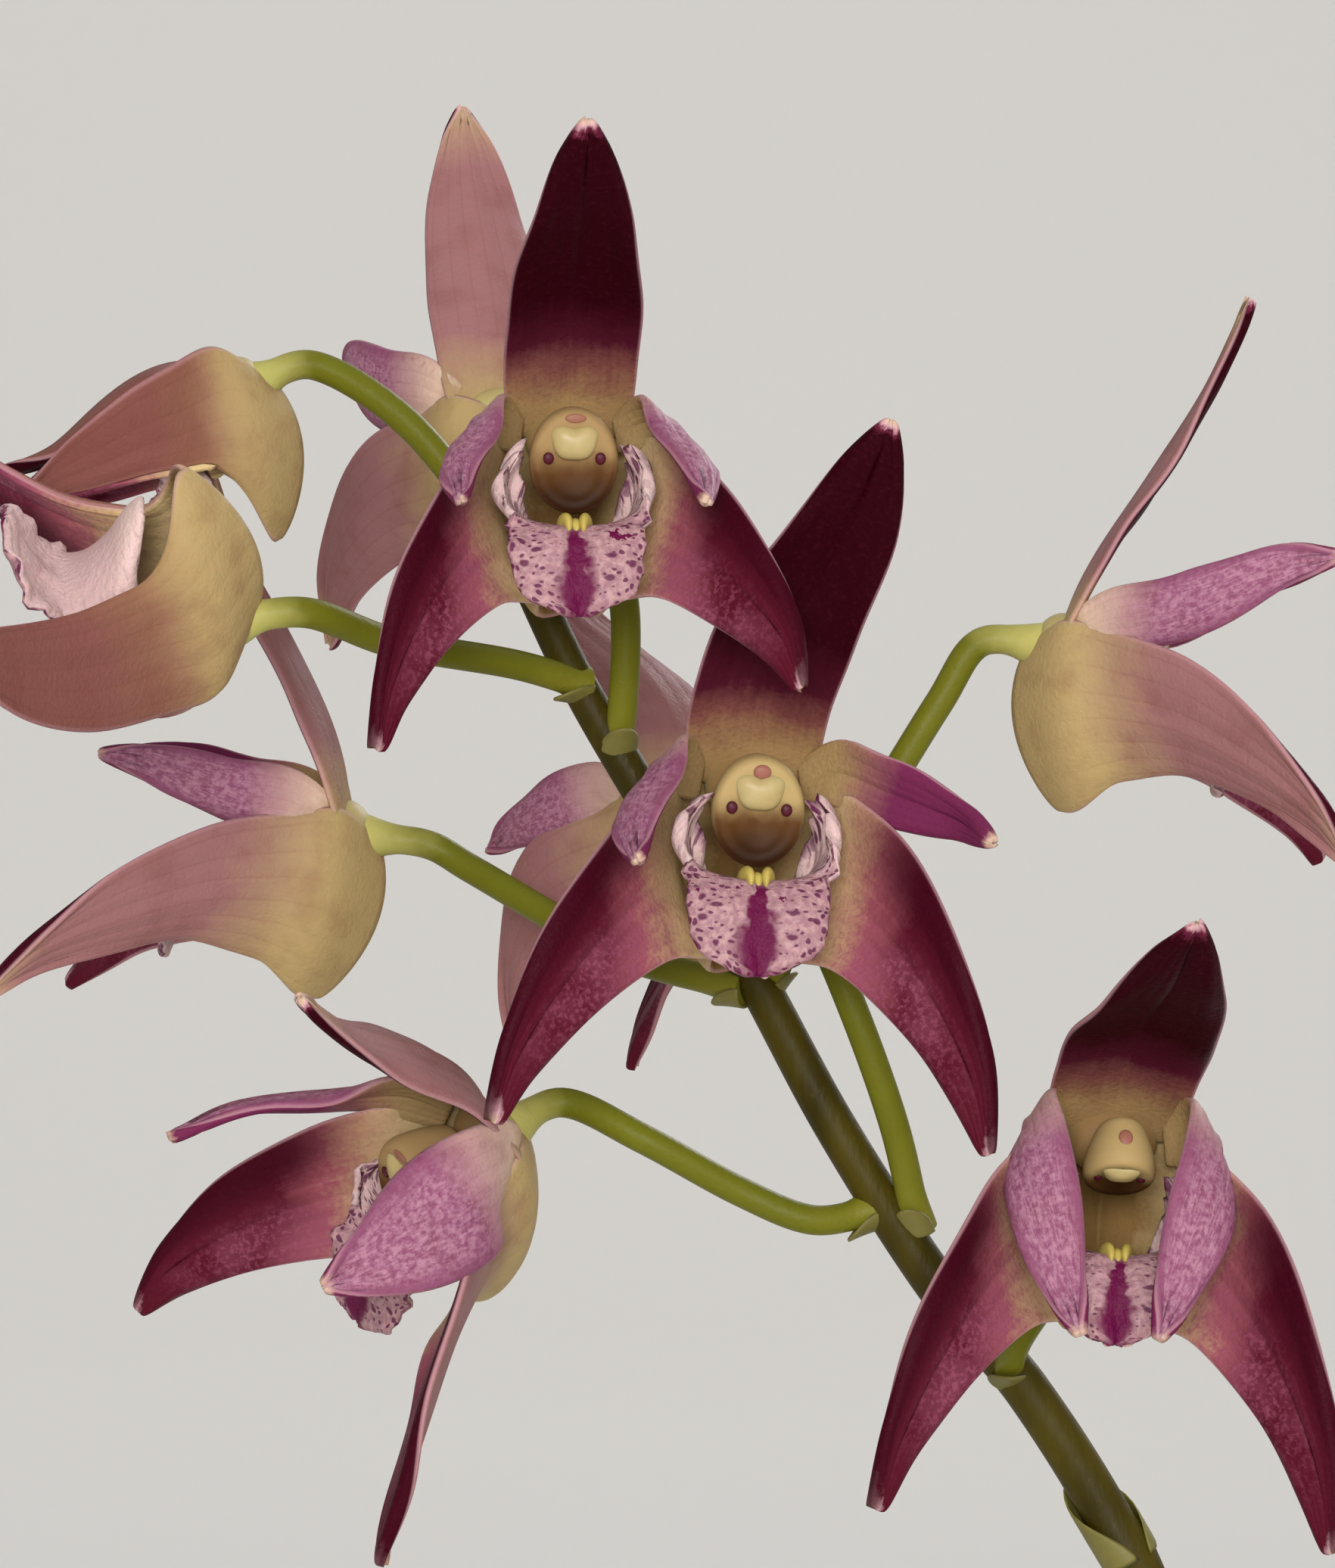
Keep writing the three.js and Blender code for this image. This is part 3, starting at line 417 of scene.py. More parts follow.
def blade(surface, steps, thickness, top_inside, relief=None, finish=0):
    """A closed blade about surface(u, t), thin at its margins.

    u runs across it from -1 to 1, t along it from 0 to 1, and top_inside says which side is inner.
    """
    across_count, along_count = steps
    u, t = np.meshgrid(eased(across_count, -1, 1), eased(along_count, 0, 1))
    middle = surface(u, t)
    normal = unit(np.cross(np.gradient(middle, axis=1), np.gradient(middle, axis=0)))
    if relief is not None:
        middle = middle + normal * relief(u, t)[..., None]
        normal = unit(np.cross(np.gradient(middle, axis=1), np.gradient(middle, axis=0)))
    ends = np.sqrt(np.clip(1 - np.abs(2 * t - 1) ** END_SQUARENESS, 0, 1))
    half = thickness / 2 * np.sqrt(np.clip(1 - np.abs(u) ** MARGIN_SQUARENESS, 0, 1)) * ends
    columns, rows = across_count + 1, along_count + 1
    upper = np.arange(rows * columns).reshape(rows, columns)
    lower = upper.copy()
    inner = (rows - 2) * (columns - 2)
    lower[1:-1, 1:-1] = rows * columns + np.arange(inner).reshape(rows - 2, columns - 2)
    top = (middle + normal * half[..., None]).reshape(-1, 3)
    bottom = (middle - normal * half[..., None])[1:-1, 1:-1].reshape(-1, 3)

    def quads(index):
        corners = [index[:-1, :-1], index[:-1, 1:], index[1:, 1:], index[1:, :-1]]
        return np.stack([c.ravel() for c in corners], axis=1)

    faces = np.concatenate([quads(upper), quads(lower)[:, ::-1]])
    inside = np.zeros(len(faces))
    count = across_count * along_count
    inside[:count] = 1 if top_inside else 0
    inside[count:] = 0 if top_inside else 1
    both = [np.concatenate([value.ravel(), value[1:-1, 1:-1].ravel()]) for value in (u, t)]
    return Form(np.concatenate([top, bottom]), faces.tolist(), both[0], both[1], inside, finish)


def rings(centres, wides, deeps, sides, finish=0):
    """A closed round form through rings; wides and deeps are each ring's two half-axes as vectors."""
    count = len(centres)
    angle = np.arange(sides) / sides * 2 * np.pi
    body = (centres[:, None] + wides[:, None] * np.cos(angle)[None, :, None]
            + deeps[:, None] * np.sin(angle)[None, :, None]).reshape(-1, 3)
    points = np.concatenate([body, centres[:1], centres[-1:]])
    index = np.arange(count * sides).reshape(count, sides)
    following = np.roll(index, -1, axis=1)
    corners = [index[:-1], following[:-1], following[1:], index[1:]]
    faces = np.stack([c.ravel() for c in corners], axis=1).tolist()
    first, last = count * sides, count * sides + 1
    faces += [[first, b, a] for a, b in zip(index[0], following[0])]
    faces += [[last, a, b] for a, b in zip(index[-1], following[-1])]
    t = np.repeat(np.linspace(0, 1, count), sides)
    around = np.tile(angle / np.pi - 1, count)
    t = np.concatenate([t, [0, 1]])
    around = np.concatenate([around, [0, 0]])
    return Form(points, faces, around, t, np.zeros(len(faces)), finish)


def tube(line, radius, sides, aside):
    """A closed round tube along a line of points, with its first side turned aside."""
    line = np.asarray(line, dtype=float)
    aside = np.asarray(aside, dtype=float)
    forward = unit(np.gradient(line, axis=0))
    wide = unit(aside - dot(forward, aside) * forward)
    deep = np.cross(forward, wide)
    return rings(line, wide * radius, deep * radius, sides)


def ellipsoid(place, radii, sides, steps, finish=0):
    """A closed ellipsoid whose poles lie forwards and backwards."""
    angle = np.linspace(POLE_ANGLE, np.pi - POLE_ANGLE, steps)
    centres = place + np.outer(-np.cos(angle), [0, 0, radii[2]])
    wides = np.outer(np.sin(angle), [radii[0], 0, 0])
    deeps = np.outer(np.sin(angle), [0, radii[1], 0])
    return rings(centres, wides, deeps, sides, finish)


def make_object(name, forms, finishes, tone=0.0):
    """A mesh object, in metres, of closed forms given in millimetres.

    The tone says how far this one piece takes its material's second colour: brown on the outside
    of a young bloom, worn at a leaf's tip, fair on a column.
    """
    points, faces, across, places, inside, finish = [], [], [], [], [], []
    start = 0
    for form in forms:
        points.append(form.points * MM)
        faces += [[start + corner for corner in face] for face in form.faces]
        across.append(form.across)
        places.append(form.along)
        inside.append(form.inside)
        finish.append(np.full(len(form.faces), form.finish))
        start += len(form.points)
    mesh = bpy.data.meshes.new(name)
    mesh.from_pydata(np.concatenate(points).tolist(), [], faces)
    values = [("across", "POINT", np.concatenate(across)), ("along", "POINT", np.concatenate(places)),
              ("inside", "FACE", np.concatenate(inside)), ("tone", "POINT", np.full(start, tone))]
    for label, domain, value in values:
        attribute = mesh.attributes.new(label, "FLOAT", domain)
        attribute.data.foreach_set("value", value.astype(np.float32))
    for material in finishes:
        mesh.materials.append(material)
    mesh.polygons.foreach_set("material_index", np.concatenate(finish).astype(np.int32))
    mesh.shade_smooth()
    mesh.update()
    piece = bpy.data.objects.new(name, mesh)
    bpy.context.scene.collection.objects.link(piece)
    return piece


def hand_over(piece, node):
    """Hangs the piece on the root body and hides the model's part that it takes the place of."""
    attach(piece, "root")
    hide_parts(node)


# Finishes

class Finish:
    """A procedural material in the making, with a short method for each kind of node."""

    def __init__(self, name, **constants):
        self.material = bpy.data.materials.new(name)
        self.material.use_nodes = True
        self.nodes = self.material.node_tree.nodes
        self.links = self.material.node_tree.links
        self.shader = self.nodes["Principled BSDF"]
        for label, value in constants.items():
            self.shader.inputs[label.replace("_", " ")].default_value = value

    def put(self, socket, value):
        """Links a socket, or sets a number, a vector or a colour on it."""
        if isinstance(value, bpy.types.NodeSocket):
            self.links.new(value, socket)
        elif hasattr(value, "__len__") and len(value) == 3 and socket.type == "RGBA":
            socket.default_value = (*value, 1)
        else:
            socket.default_value = value

    def place(self, stretch=(1, 1, 1)):
        """Object coordinates, stretched."""
        source = self.nodes.new("ShaderNodeTexCoord")
        mapping = self.nodes.new("ShaderNodeMapping")
        mapping.inputs["Scale"].default_value = stretch
        self.links.new(source.outputs["Object"], mapping.inputs["Vector"])
        return mapping.outputs["Vector"]

    def height(self):
        """Height above the floor, in metres."""
        node = self.nodes.new("ShaderNodeSeparateXYZ")
        self.put(node.inputs[0], self.place())
        return node.outputs["Z"]

    def value(self, name):
        """An attribute of the piece's own."""
        node = self.nodes.new("ShaderNodeAttribute")
        node.attribute_name = name
        return node.outputs["Fac"]

    def math(self, operation, a, b=0.5, c=0.0):
        node = self.nodes.new("ShaderNodeMath")
        node.operation = operation
        for socket, part in zip(node.inputs, (a, b, c)):
            self.put(socket, part)
        return node.outputs[0]

    def times(self, a, b):
        return self.math("MULTIPLY", a, b)

    def plus(self, base, value, amount):
        """The base with an amount of the value added."""
        return self.math("MULTIPLY_ADD", value, amount, base)

    def swayed(self, base, noise, amount):
        """The base, moved up and down by an amount of the noise."""
        return self.plus(base, self.math("SUBTRACT", noise, 0.5), amount)

    def folded(self, value, count):
        """Waves from 0 to 1 and back, a number of them to each unit of the value."""
        return self.math("ABSOLUTE", self.math("SINE", self.times(value, count)))

    def vector(self, x, y, z=0.0):
        node = self.nodes.new("ShaderNodeCombineXYZ")
        for socket, part in zip(node.inputs, (x, y, z)):
            self.put(socket, part)
        return node.outputs[0]

    def noise(self, vector, scale, detail=2.0, roughness=0.5):
        node = self.nodes.new("ShaderNodeTexNoise")
        self.put(node.inputs["Vector"], vector)
        node.inputs["Scale"].default_value = scale
        node.inputs["Detail"].default_value = detail
        node.inputs["Roughness"].default_value = roughness
        return node.outputs["Fac"]

    def cells(self, vector, scale):
        """Distance to the nearest cell's middle, in a flat pattern of cells."""
        node = self.nodes.new("ShaderNodeTexVoronoi")
        node.voronoi_dimensions = "2D"
        self.put(node.inputs["Vector"], vector)
        node.inputs["Scale"].default_value = scale
        return node.outputs["Distance"]

    def patches(self, scale, detail=2.0, roughness=0.5, stretch=(1, 1, 1)):
        """Noise that stays where it is on the piece, in patches that can be stretched."""
        return self.noise(self.place(stretch), scale, detail, roughness)

    def step(self, value, low, high):
        """Rises smoothly from 0 to 1 as the value goes from low to high."""
        node = self.nodes.new("ShaderNodeMapRange")
        node.interpolation_type = "SMOOTHSTEP"
        self.put(node.inputs["Value"], value)
        node.inputs["From Min"].default_value = low
        node.inputs["From Max"].default_value = high
        return node.outputs["Result"]

    def mix(self, share, a, b):
        node = self.nodes.new("ShaderNodeMix")
        node.data_type = "RGBA"
        self.put(node.inputs[0], share)
        self.put(node.inputs[6], a)
        self.put(node.inputs[7], b)
        return node.outputs[2]

    def over(self, colour, cover, value, low, high, share):
        """The colour under a share of a cover that comes in as the value goes from low to high."""
        return self.mix(self.times(self.step(value, low, high), share), colour, cover)

    def ramp(self, value, stops):
        """Colours along a value, from pairs of place and colour."""
        node = self.nodes.new("ShaderNodeValToRGB")
        elements = node.color_ramp.elements
        while len(elements) < len(stops):
            elements.new(1.0)
        for element, (position, colour) in zip(elements, stops):
            element.position = position
            element.color = (*colour, 1)
        self.put(node.inputs[0], value)
        return node.outputs[0]

    def bump(self, height, depth, strength=1.0):
        """Relief of a depth in metres on the shader's normal."""
        node = self.nodes.new("ShaderNodeBump")
        node.inputs["Strength"].default_value = strength
        node.inputs["Distance"].default_value = depth
        self.put(node.inputs["Height"], height)
        self.links.new(node.outputs["Normal"], self.shader.inputs["Normal"])

    def done(self, colour, roughness=None):
        """The material, with its colour and, where it varies, its roughness linked."""
        self.put(self.shader.inputs["Base Color"], colour)
        if roughness is not None:
            self.put(self.shader.inputs["Roughness"], roughness)
        return self.material


def living(name, roughness, gloss, glow=0.08, depth=0.0012):
    """Living skin in the making: its roughness, its gloss, and how much light passes how deep."""
    return Finish(name, Roughness=roughness, Subsurface_Weight=glow, Subsurface_Scale=depth,
                  Specular_IOR_Level=gloss)


def shade(name, description, red, green, blue):
    """A colour that a user would change, given as screen values."""
    return bpy.props.FloatVectorProperty(name=name, description=description, subtype="COLOR", size=3,
                                         min=0, max=1, default=linear(red, green, blue))


def length(name, description, mm):
    """A size that a user would change, given in millimetres."""
    return bpy.props.FloatProperty(name=name, description=description, default=mm * MM,
                                   subtype="DISTANCE", unit="LENGTH")


def amount(name, description, default):
    """A number without a unit that a user would change."""
    return bpy.props.FloatProperty(name=name, description=description, default=default)


# Settings

class ORCHID_PG_bloom(bpy.types.PropertyGroup):
    """The sepals' and petals' settings, and the lip's ruffle"""

    blade: length("Tepal thickness", "Thickness of sepals and petals", 0.7)
    ruffle: length("Lip ruffle", "How far the lip's margin waves", 0.3)
    cream: shade("Cream base", "Inside of sepals and petals at their base", 148, 118, 78)
    # Partly the throat's own pale cream, partly painted light that lifts the shade under the column.
    throat: shade("Throat", "Inside of the chin, under the column", 204, 178, 128)
    rose: shade("Rose zone", "Where the cream base turns into maroon", 98, 32, 54)
    maroon: shade("Maroon", "Outer part of the dorsal sepal's inside", 42, 1, 10)
    wine: shade("Wine", "Inside of the lateral sepals", 78, 16, 32)
    wine_dark: shade("Dark wine", "Outer margin of the lateral sepals", 52, 3, 18)
    mottle: shade("Mottle", "Pale bloom inside the lateral sepals", 144, 76, 98)
    petal_in: shade("Petal inside", "Inside of the petals", 106, 38, 72)
    petal_out: shade("Petal outside", "Outside of the petals", 130, 72, 100)
    fleck: shade("Flecks", "Whitish flecks on the petals' outside", 182, 134, 152)
    back_cream: shade("Back, base", "Outside of the blooms at the chin", 168, 144, 98)
    back_pink: shade("Back, blade", "Outside of the sepals", 144, 100, 100)
    back_tan: shade("Back, tip", "Outside of the sepals at their tips", 166, 134, 108)
    brown: shade("Brown blush", "Outside of the youngest blooms", 112, 62, 50)
    edge: shade("Pale edge", "Thin pale margin of sepals and petals", 196, 150, 156)
    tip: shade("Pale tip", "Very tip of sepals and petals", 200, 168, 146)


class ORCHID_PG_lip(bpy.types.PropertyGroup):
    """The lips' and columns' colours"""

    pale: shade("Lip", "Ground colour of the lip", 150, 108, 116)
    spot: shade("Lip spots", "Spots and dashes of the lip", 84, 18, 60)
    stripe: shade("Lip stripe", "Stripe down the front lobe", 92, 0, 54)
    callus: shade("Callus", "Ridges on the lip's middle", 162, 142, 64)
    cap: shade("Anther cap", "Cap at the column's front", 164, 142, 90)
    column: shade("Column", "Outside of the column", 142, 110, 72)
    # Very dark brown for the deepest part of the column's hollow: painted shade.
    hollow: shade("Column hollow", "Hollow front of the column", 48, 26, 10)


class ORCHID_PG_stem(bpy.types.PropertyGroup):
    """The flower stem's and the pedicels' settings"""

    rachis: length("Stem radius", "Radius of the flower stem", 1.45)
    pedicel: length("Pedicel radius", "Radius of a bloom's stalk", 0.9)
    sides: bpy.props.IntProperty(name="Sides", description="Sides round a stem", default=24, min=8)
    olive: shade("Olive", "Flower stem", 46, 38, 2)
    lime: shade("Yellow green", "Pedicels", 98, 98, 20)
    bract: shade("Bract", "Small scales at the pedicels' feet", 116, 106, 46)


class ORCHID_PG_cane(bpy.types.PropertyGroup):
    """The canes' settings"""

    internode: length("Internode", "Distance between a cane's rings", 21)
    ribs: bpy.props.IntProperty(name="Ribs", description="Ridges round a cane", default=9, min=3)
    rib_depth: length("Rib depth", "How far a cane's ridges stand out", 0.32)
    green: shade("Green", "Younger canes", 104, 116, 50)
    aged: shade("Aged", "Older, sunned side of canes", 132, 104, 58)
    ring: shade("Ring", "Scars round the canes", 118, 92, 62)
    paper: shade("Sheath", "Dry papery sheaths", 186, 170, 140)


class ORCHID_PG_leaf(bpy.types.PropertyGroup):
    """The leaves' settings"""

    width: length("Width", "Leaf width", 25)
    thickness: length("Thickness", "Leaf thickness", 0.9)
    wave: length("Wave", "How far a leaf's margin waves", 0.55)
    top: shade("Top", "Upper side of leaves", 52, 92, 38)
    under: shade("Underside", "Lower side of leaves", 108, 132, 70)
    rib: shade("Midrib", "Groove along the middle of leaves", 112, 138, 62)
    worn: shade("Worn tip", "Yellowed tips of older leaves", 150, 140, 62)


class ORCHID_PG_pot(bpy.types.PropertyGroup):
    """The pot's settings"""

    sides: bpy.props.IntProperty(name="Sides", description="Steps round the pot", default=144, min=24)
    band_height: length("Band height", "Height of the band round the rim", 20)
    band_proud: length("Band", "How far the band stands out", 3.5)
    wall: length("Wall", "Thickness of the wall", 4.5)
    floor: length("Floor", "Thickness of the floor", 6)
    clay: shade("Clay", "Fired clay", 178, 102, 66)
    clay_dark: shade("Damp clay", "Damp and weathered clay", 134, 74, 48)
    salt: shade("Mineral bloom", "Pale mineral crust on the clay", 214, 190, 168)


class ORCHID_PG_bark(bpy.types.PropertyGroup):
    """The potting bark's settings"""

    density: amount("Density", "Chips in a square metre", 56000)
    spacing: length("Spacing", "Least distance between chips", 4.2)
    chip: length("Chip length", "Length of the largest chips", 15)
    seed: bpy.props.IntProperty(name="Seed", description="Seed of the chips' places", default=7)
    dark: shade("Dark bark", "Deep layers of bark", 58, 36, 24)
    light: shade("Light bark", "Worn faces of bark", 140, 96, 62)


class ORCHID_PG_stage(bpy.types.PropertyGroup):
    """The floor's, the sky's and the lights' settings"""

    floor_radius: bpy.props.FloatProperty(name="Floor radius", description="Flat part of the floor",
                                          default=4, unit="LENGTH", subtype="DISTANCE")
    floor_color: shade("Floor", "Plain pale floor", 238, 236, 232)
    sky: shade("Sky", "Soft light from above", 240, 240, 242)
    key: amount("Key light", "Power of the main light", 56)
    fill: amount("Fill light", "Power of the fill light", 18)
    rim: amount("Rim light", "Power of the light behind", 7)
    backdrop: amount("Backdrop light", "Power of the light on the backdrop", 26)


# Bloom geometry

def bloom_place(bloom):
    """The matrix and origin that take a bloom's own frame to the plant's, in millimetres."""
    axes = np.eye(3)
    axes = turned(axes, 2, math.radians(-bloom["lean"]))
    axes = turned(axes, 0, math.radians(bloom["nod"]))
    axes = turned(axes, 1, math.radians(bloom["turn"]))
    facing = np.array([[1, 0, 0], [0, 0, -1], [0, 1, 0]])
    return facing @ axes.T * bloom["size"], seen_at(*bloom["joint"])


def at_bloom(bloom, forms):
    """Forms taken from a bloom's own frame to the plant's."""
    matrix, origin = bloom_place(bloom)
    return [form.placed(matrix, origin) for form in forms]


def bent(points, root, share, bend):
    """Turns a tepal about its root and changes its length, more towards its tip."""
    moved = (points - root) * (1 + (bend.get("long", 1) - 1) * share)[..., None]
    moved = turned(moved, 2, -math.radians(bend.get("roll", 0)) * share)
    moved = turned(moved, 0, -math.radians(bend.get("lift", 0)) * share)
    moved = turned(moved, 1, math.radians(bend.get("swing", 0)) * share)
    return moved + root


def tepal(line, width, outline, cup, flat, mirror, bend):
    """The middle sheet of a dorsal sepal or a petal, bent as this bloom's is."""
    root = np.array(line[0], dtype=float)
    flat = np.array(flat, dtype=float)
    near, cup_reach, twist_end = 0.02, 1.1, 0.6
    bend_start, bend_end = bend.get("start", 0.1), 0.85

    def surface(u, t):
        middle = along(line, t)
        forward = unit(along(line, np.minimum(t + near, 1)) - along(line, np.maximum(t - near, 0)))
        across = flat[0] + (flat[1] - flat[0]) * t[..., None]
        across = unit(across - dot(across, forward) * forward)
        twist = (math.radians(bend.get("twist", 0)) * smooth(0, twist_end, t))[..., None]
        across = across * np.cos(twist) + np.cross(forward, across) * np.sin(twist)
        inward = np.cross(across, forward)
        half = width / 2 * bend.get("wide", 1) * along(outline, t)
        bow = cup * bend.get("cup", 1)
        depth = (bow * np.sin(np.pi * np.minimum(t * cup_reach, 1)) * (1 - u * u))[..., None]
        points = middle + across * half * u[..., None] + inward * depth
        moved = bent(points, root, smooth(bend_start, bend_end, t), bend)
        return moved * [-1, 1, 1] if mirror else moved

    return surface


def lateral_sheet(bloom):
    """Both lateral sepals and the chin between them, t from the left tip to the right."""
    fold_in, fold_out, fold_lift = (0.04, 0.36), (0.7, 1), 0.25
    bend_zone = (0.2, 1)

    def surface(u, t):
        side = np.where(t < 0.5, -1.0, 1.0)
        outwards = np.abs(t - 0.5) * 2
        rib = along(LATERAL_RIBS, outwards)
        zone = (smooth(*fold_in, outwards) * (1 - smooth(*fold_out, outwards)))[..., None]
        notch = bloom.get("notch", 0) * zone
        upper, centre, lower = rib[..., 0:3], rib[..., 3:6], rib[..., 6:9]
        lower = lower + (centre - lower) * notch
        centre = centre + (upper - lower) * fold_lift * notch
        upper = upper + (upper - centre) * bloom.get("shut", 0) * zone
        u3 = u[..., None]
        points = (upper * (u3 * (u3 + 1) / 2) + centre * (1 - u3 * u3)
                  + lower * (u3 * (u3 - 1) / 2))
        share = smooth(*bend_zone, outwards)
        left = bent(points, LATERAL_ROOT, share, bloom.get("left_sepal", {}))
        right = bent(points, LATERAL_ROOT, share, bloom.get("right_sepal", {}))
        moved = np.where(side[..., None] < 0, left, right)
        moved[..., 0] *= side
        return moved

    return surface


def lateral_relief(notch):
    """Rolled-back margins towards the tips, a keel down each sepal's middle, and a slight wave."""
    ease = max(1 - 1.1 * notch, 0)
    roll_depth, keel_height, keel_width = 0.5, 0.14, 0.1
    wave_height, waves = 0.14, 6.5
    crease_depth, crease_place, crease_width, crease_slant = 0.3, 0.42, 0.05, 0.1
    ripple_height, ripple_place, ripple_width = 0.1, 0.4, 0.1

    def relief(u, t):
        outwards = np.abs(t - 0.5) * 2
        roll = roll_depth * smooth(0.7, 1, np.abs(u)) * smooth(0.45, 0.95, outwards)
        keel = keel_height * dip(u, keel_width) * smooth(0.3, 0.5, outwards)
        swing = np.sin(2 * np.pi * waves * t + 1.7 * np.sign(u))
        wave = wave_height * smooth(0.5, 1, np.abs(u)) * swing
        crease = dip(outwards - crease_place - crease_slant * u, crease_width) * smooth(0.1, -0.7, u)
        ripple = ripple_height * np.sin(40 * t + 4 * u) * smooth(-0.2, -0.8, u)
        crumple = ripple * dip(outwards - ripple_place, ripple_width)
        edge = wave * smooth(0.25, 0.5, outwards) - crease_depth * crease
        return roll + keel + ease * (edge + crumple)

    return relief


def tepal_relief(inner, seed):
    """A groove down the inner side, and waves along the margins; inner is the inner side's sign."""
    groove_depth, groove_width = 0.16, 0.09
    wave_height, waves, roll_depth = 0.15, 2.7, 0.35

    def relief(u, t):
        groove = groove_depth * dip(u, groove_width) * smooth(0.05, 0.2, t)
        swing = np.sin(2 * np.pi * waves * t + seed + np.sign(u))
        wave = wave_height * smooth(0.55, 1, np.abs(u)) * swing
        roll = roll_depth * smooth(0.75, 1, np.abs(u)) * smooth(0.55, 0.95, t)
        return -inner * (groove + roll) + wave * smooth(0.15, 0.4, t)

    return relief


def perianth_forms(bloom, thickness):
    """The lateral sepals with their chin, the dorsal sepal, the two petals and the receptacle."""
    seed = float(ord(bloom["name"]))
    petal = (PETAL_LINE, PETAL_WIDTH, PETAL_OUTLINE, PETAL_CUP, PETAL_FLAT)
    right = tepal(*petal, False, bloom.get("right_petal", {}))
    left = tepal(*petal, True, bloom.get("left_petal", {}))
    dorsal = tepal(DORSAL_LINE, DORSAL_WIDTH, DORSAL_OUTLINE, -DORSAL_CUP, DORSAL_FLAT, False,
                   bloom.get("dorsal", {}))
    relief = lateral_relief(bloom.get("notch", 0))
    lateral = blade(lateral_sheet(bloom), LATERAL_STEPS, thickness, False, relief, finish=0)
    lateral.along = np.abs(lateral.along - 0.5) * 2
    return [
        lateral,
        blade(dorsal, DORSAL_STEPS, thickness, True, tepal_relief(1, seed), finish=1),
        blade(right, PETAL_STEPS, thickness, False, tepal_relief(-1, seed), finish=2),
        blade(left, PETAL_STEPS, thickness, True, tepal_relief(1, seed + 2), finish=2),
        ellipsoid(RECEPTACLE_PLACE, RECEPTACLE_RADII, 28, 16, finish=3),
    ]


def lip_surface(scale):
    """The lip's middle sheet, its margin cut into small scallops."""
    scallop, scallops, nicks, nick_share = 0.028, 15, 26, 0.6

    def surface(u, t):
        height, forward, wide, tall, arc = np.moveaxis(along(LIP_ROWS, t), -1, 0)
        notches = np.sin(2 * np.pi * scallops * t + u)
        notches = notches + nick_share * np.sin(2 * np.pi * nicks * t + 2 * u)
        frill = scallop * notches * smooth(0.6, 1, np.abs(u)) * smooth(0.1, 0.3, t)
        angle = u * np.radians(arc) * (1 + frill)
        points = np.stack([wide * np.sin(angle), height + tall * (1 - np.cos(angle)), forward], axis=-1)
        return (points - LIP_CLAW) * scale + LIP_CLAW

    return surface


def lip_relief(depth, seed):
    """Ruffles along the margin, finer on the front lobe, and a shallow furrow down its middle."""
    ruffles, crimps, crimp_share = 6, 14, 0.55
    furrow_height, furrow_width, crumple_height = 0.22, 0.14, 0.07

    def relief(u, t):
        side = np.sign(u)
        edge = smooth(0.5, 1, np.abs(u)) * smooth(0.08, 0.25, t) * (1 - 0.6 * smooth(0.9, 1, t))
        coarse = np.sin(2 * np.pi * ruffles * t + seed + side)
        fine = crimp_share * np.sin(2 * np.pi * crimps * t + 2.1 * seed + 0.7 * side)
        furrow = furrow_height * dip(u, furrow_width) * smooth(0.6, 0.75, t)
        crumple = crumple_height * np.sin(9 * u + 3 * np.sin(17 * t)) * np.sin(31 * t + seed)
        return depth * edge * (coarse + fine) + furrow + crumple * smooth(0.5, 0.7, t)

    return relief


def callus_forms(scale):
    """Two tall keels side by side on the lip's middle, with a low one between them."""
    surface = lip_surface(scale)
    t = np.linspace(CALLUS_FIRST, CALLUS_LAST, 40)
    reach = np.where(t < CALLUS_THICKEST, CALLUS_BEHIND, CALLUS_AHEAD)
    bulk = np.sqrt(np.clip(1 - ((t - CALLUS_THICKEST) / reach) ** 2, 0.0004, 1))
    forms = []
    for offset, rise in CALLUS_KEELS:
        foot = surface(np.full_like(t, offset)[None], t[None])[0]
        tall = 0.5 * CALLUS_RISE * rise * scale * bulk
        line = foot + np.outer(tall * 0.9, [0, 1, 0.25])
        ahead = unit(np.gradient(line, axis=0))
        wide = np.tile([1.0, 0, 0], (len(t), 1))
        deep = np.cross(ahead, wide)
        wides = wide * (CALLUS_WIDTH * scale * bulk)[:, None]
        forms.append(rings(line, wides, deep * tall[:, None], 16, finish=1))
    return forms


def cap_form():
    """The anther cap: squarish, wider towards its top and notched there."""
    form = ellipsoid(CAP_PLACE, CAP_RADII, 28, 18, finish=1)
    reach = (form.points - CAP_PLACE) / CAP_RADII
    square = np.sum(np.abs(reach[:, :2]) ** CAP_SQUARENESS, axis=1)
    square = np.maximum(square, 1e-6) ** (1 / CAP_SQUARENESS)
    circle = np.maximum(np.hypot(reach[:, 0], reach[:, 1]), 1e-6)
    reach[:, :2] *= (circle / square)[:, None]
    reach[:, 0] *= 1 + CAP_FLARE * reach[:, 1]
    reach[:, 1] -= CAP_NOTCH_DEPTH * dip(reach[:, 0], CAP_NOTCH_WIDTH) * smooth(0.2, 1, reach[:, 1])
    form.points = CAP_PLACE + reach * CAP_RADII
    return form


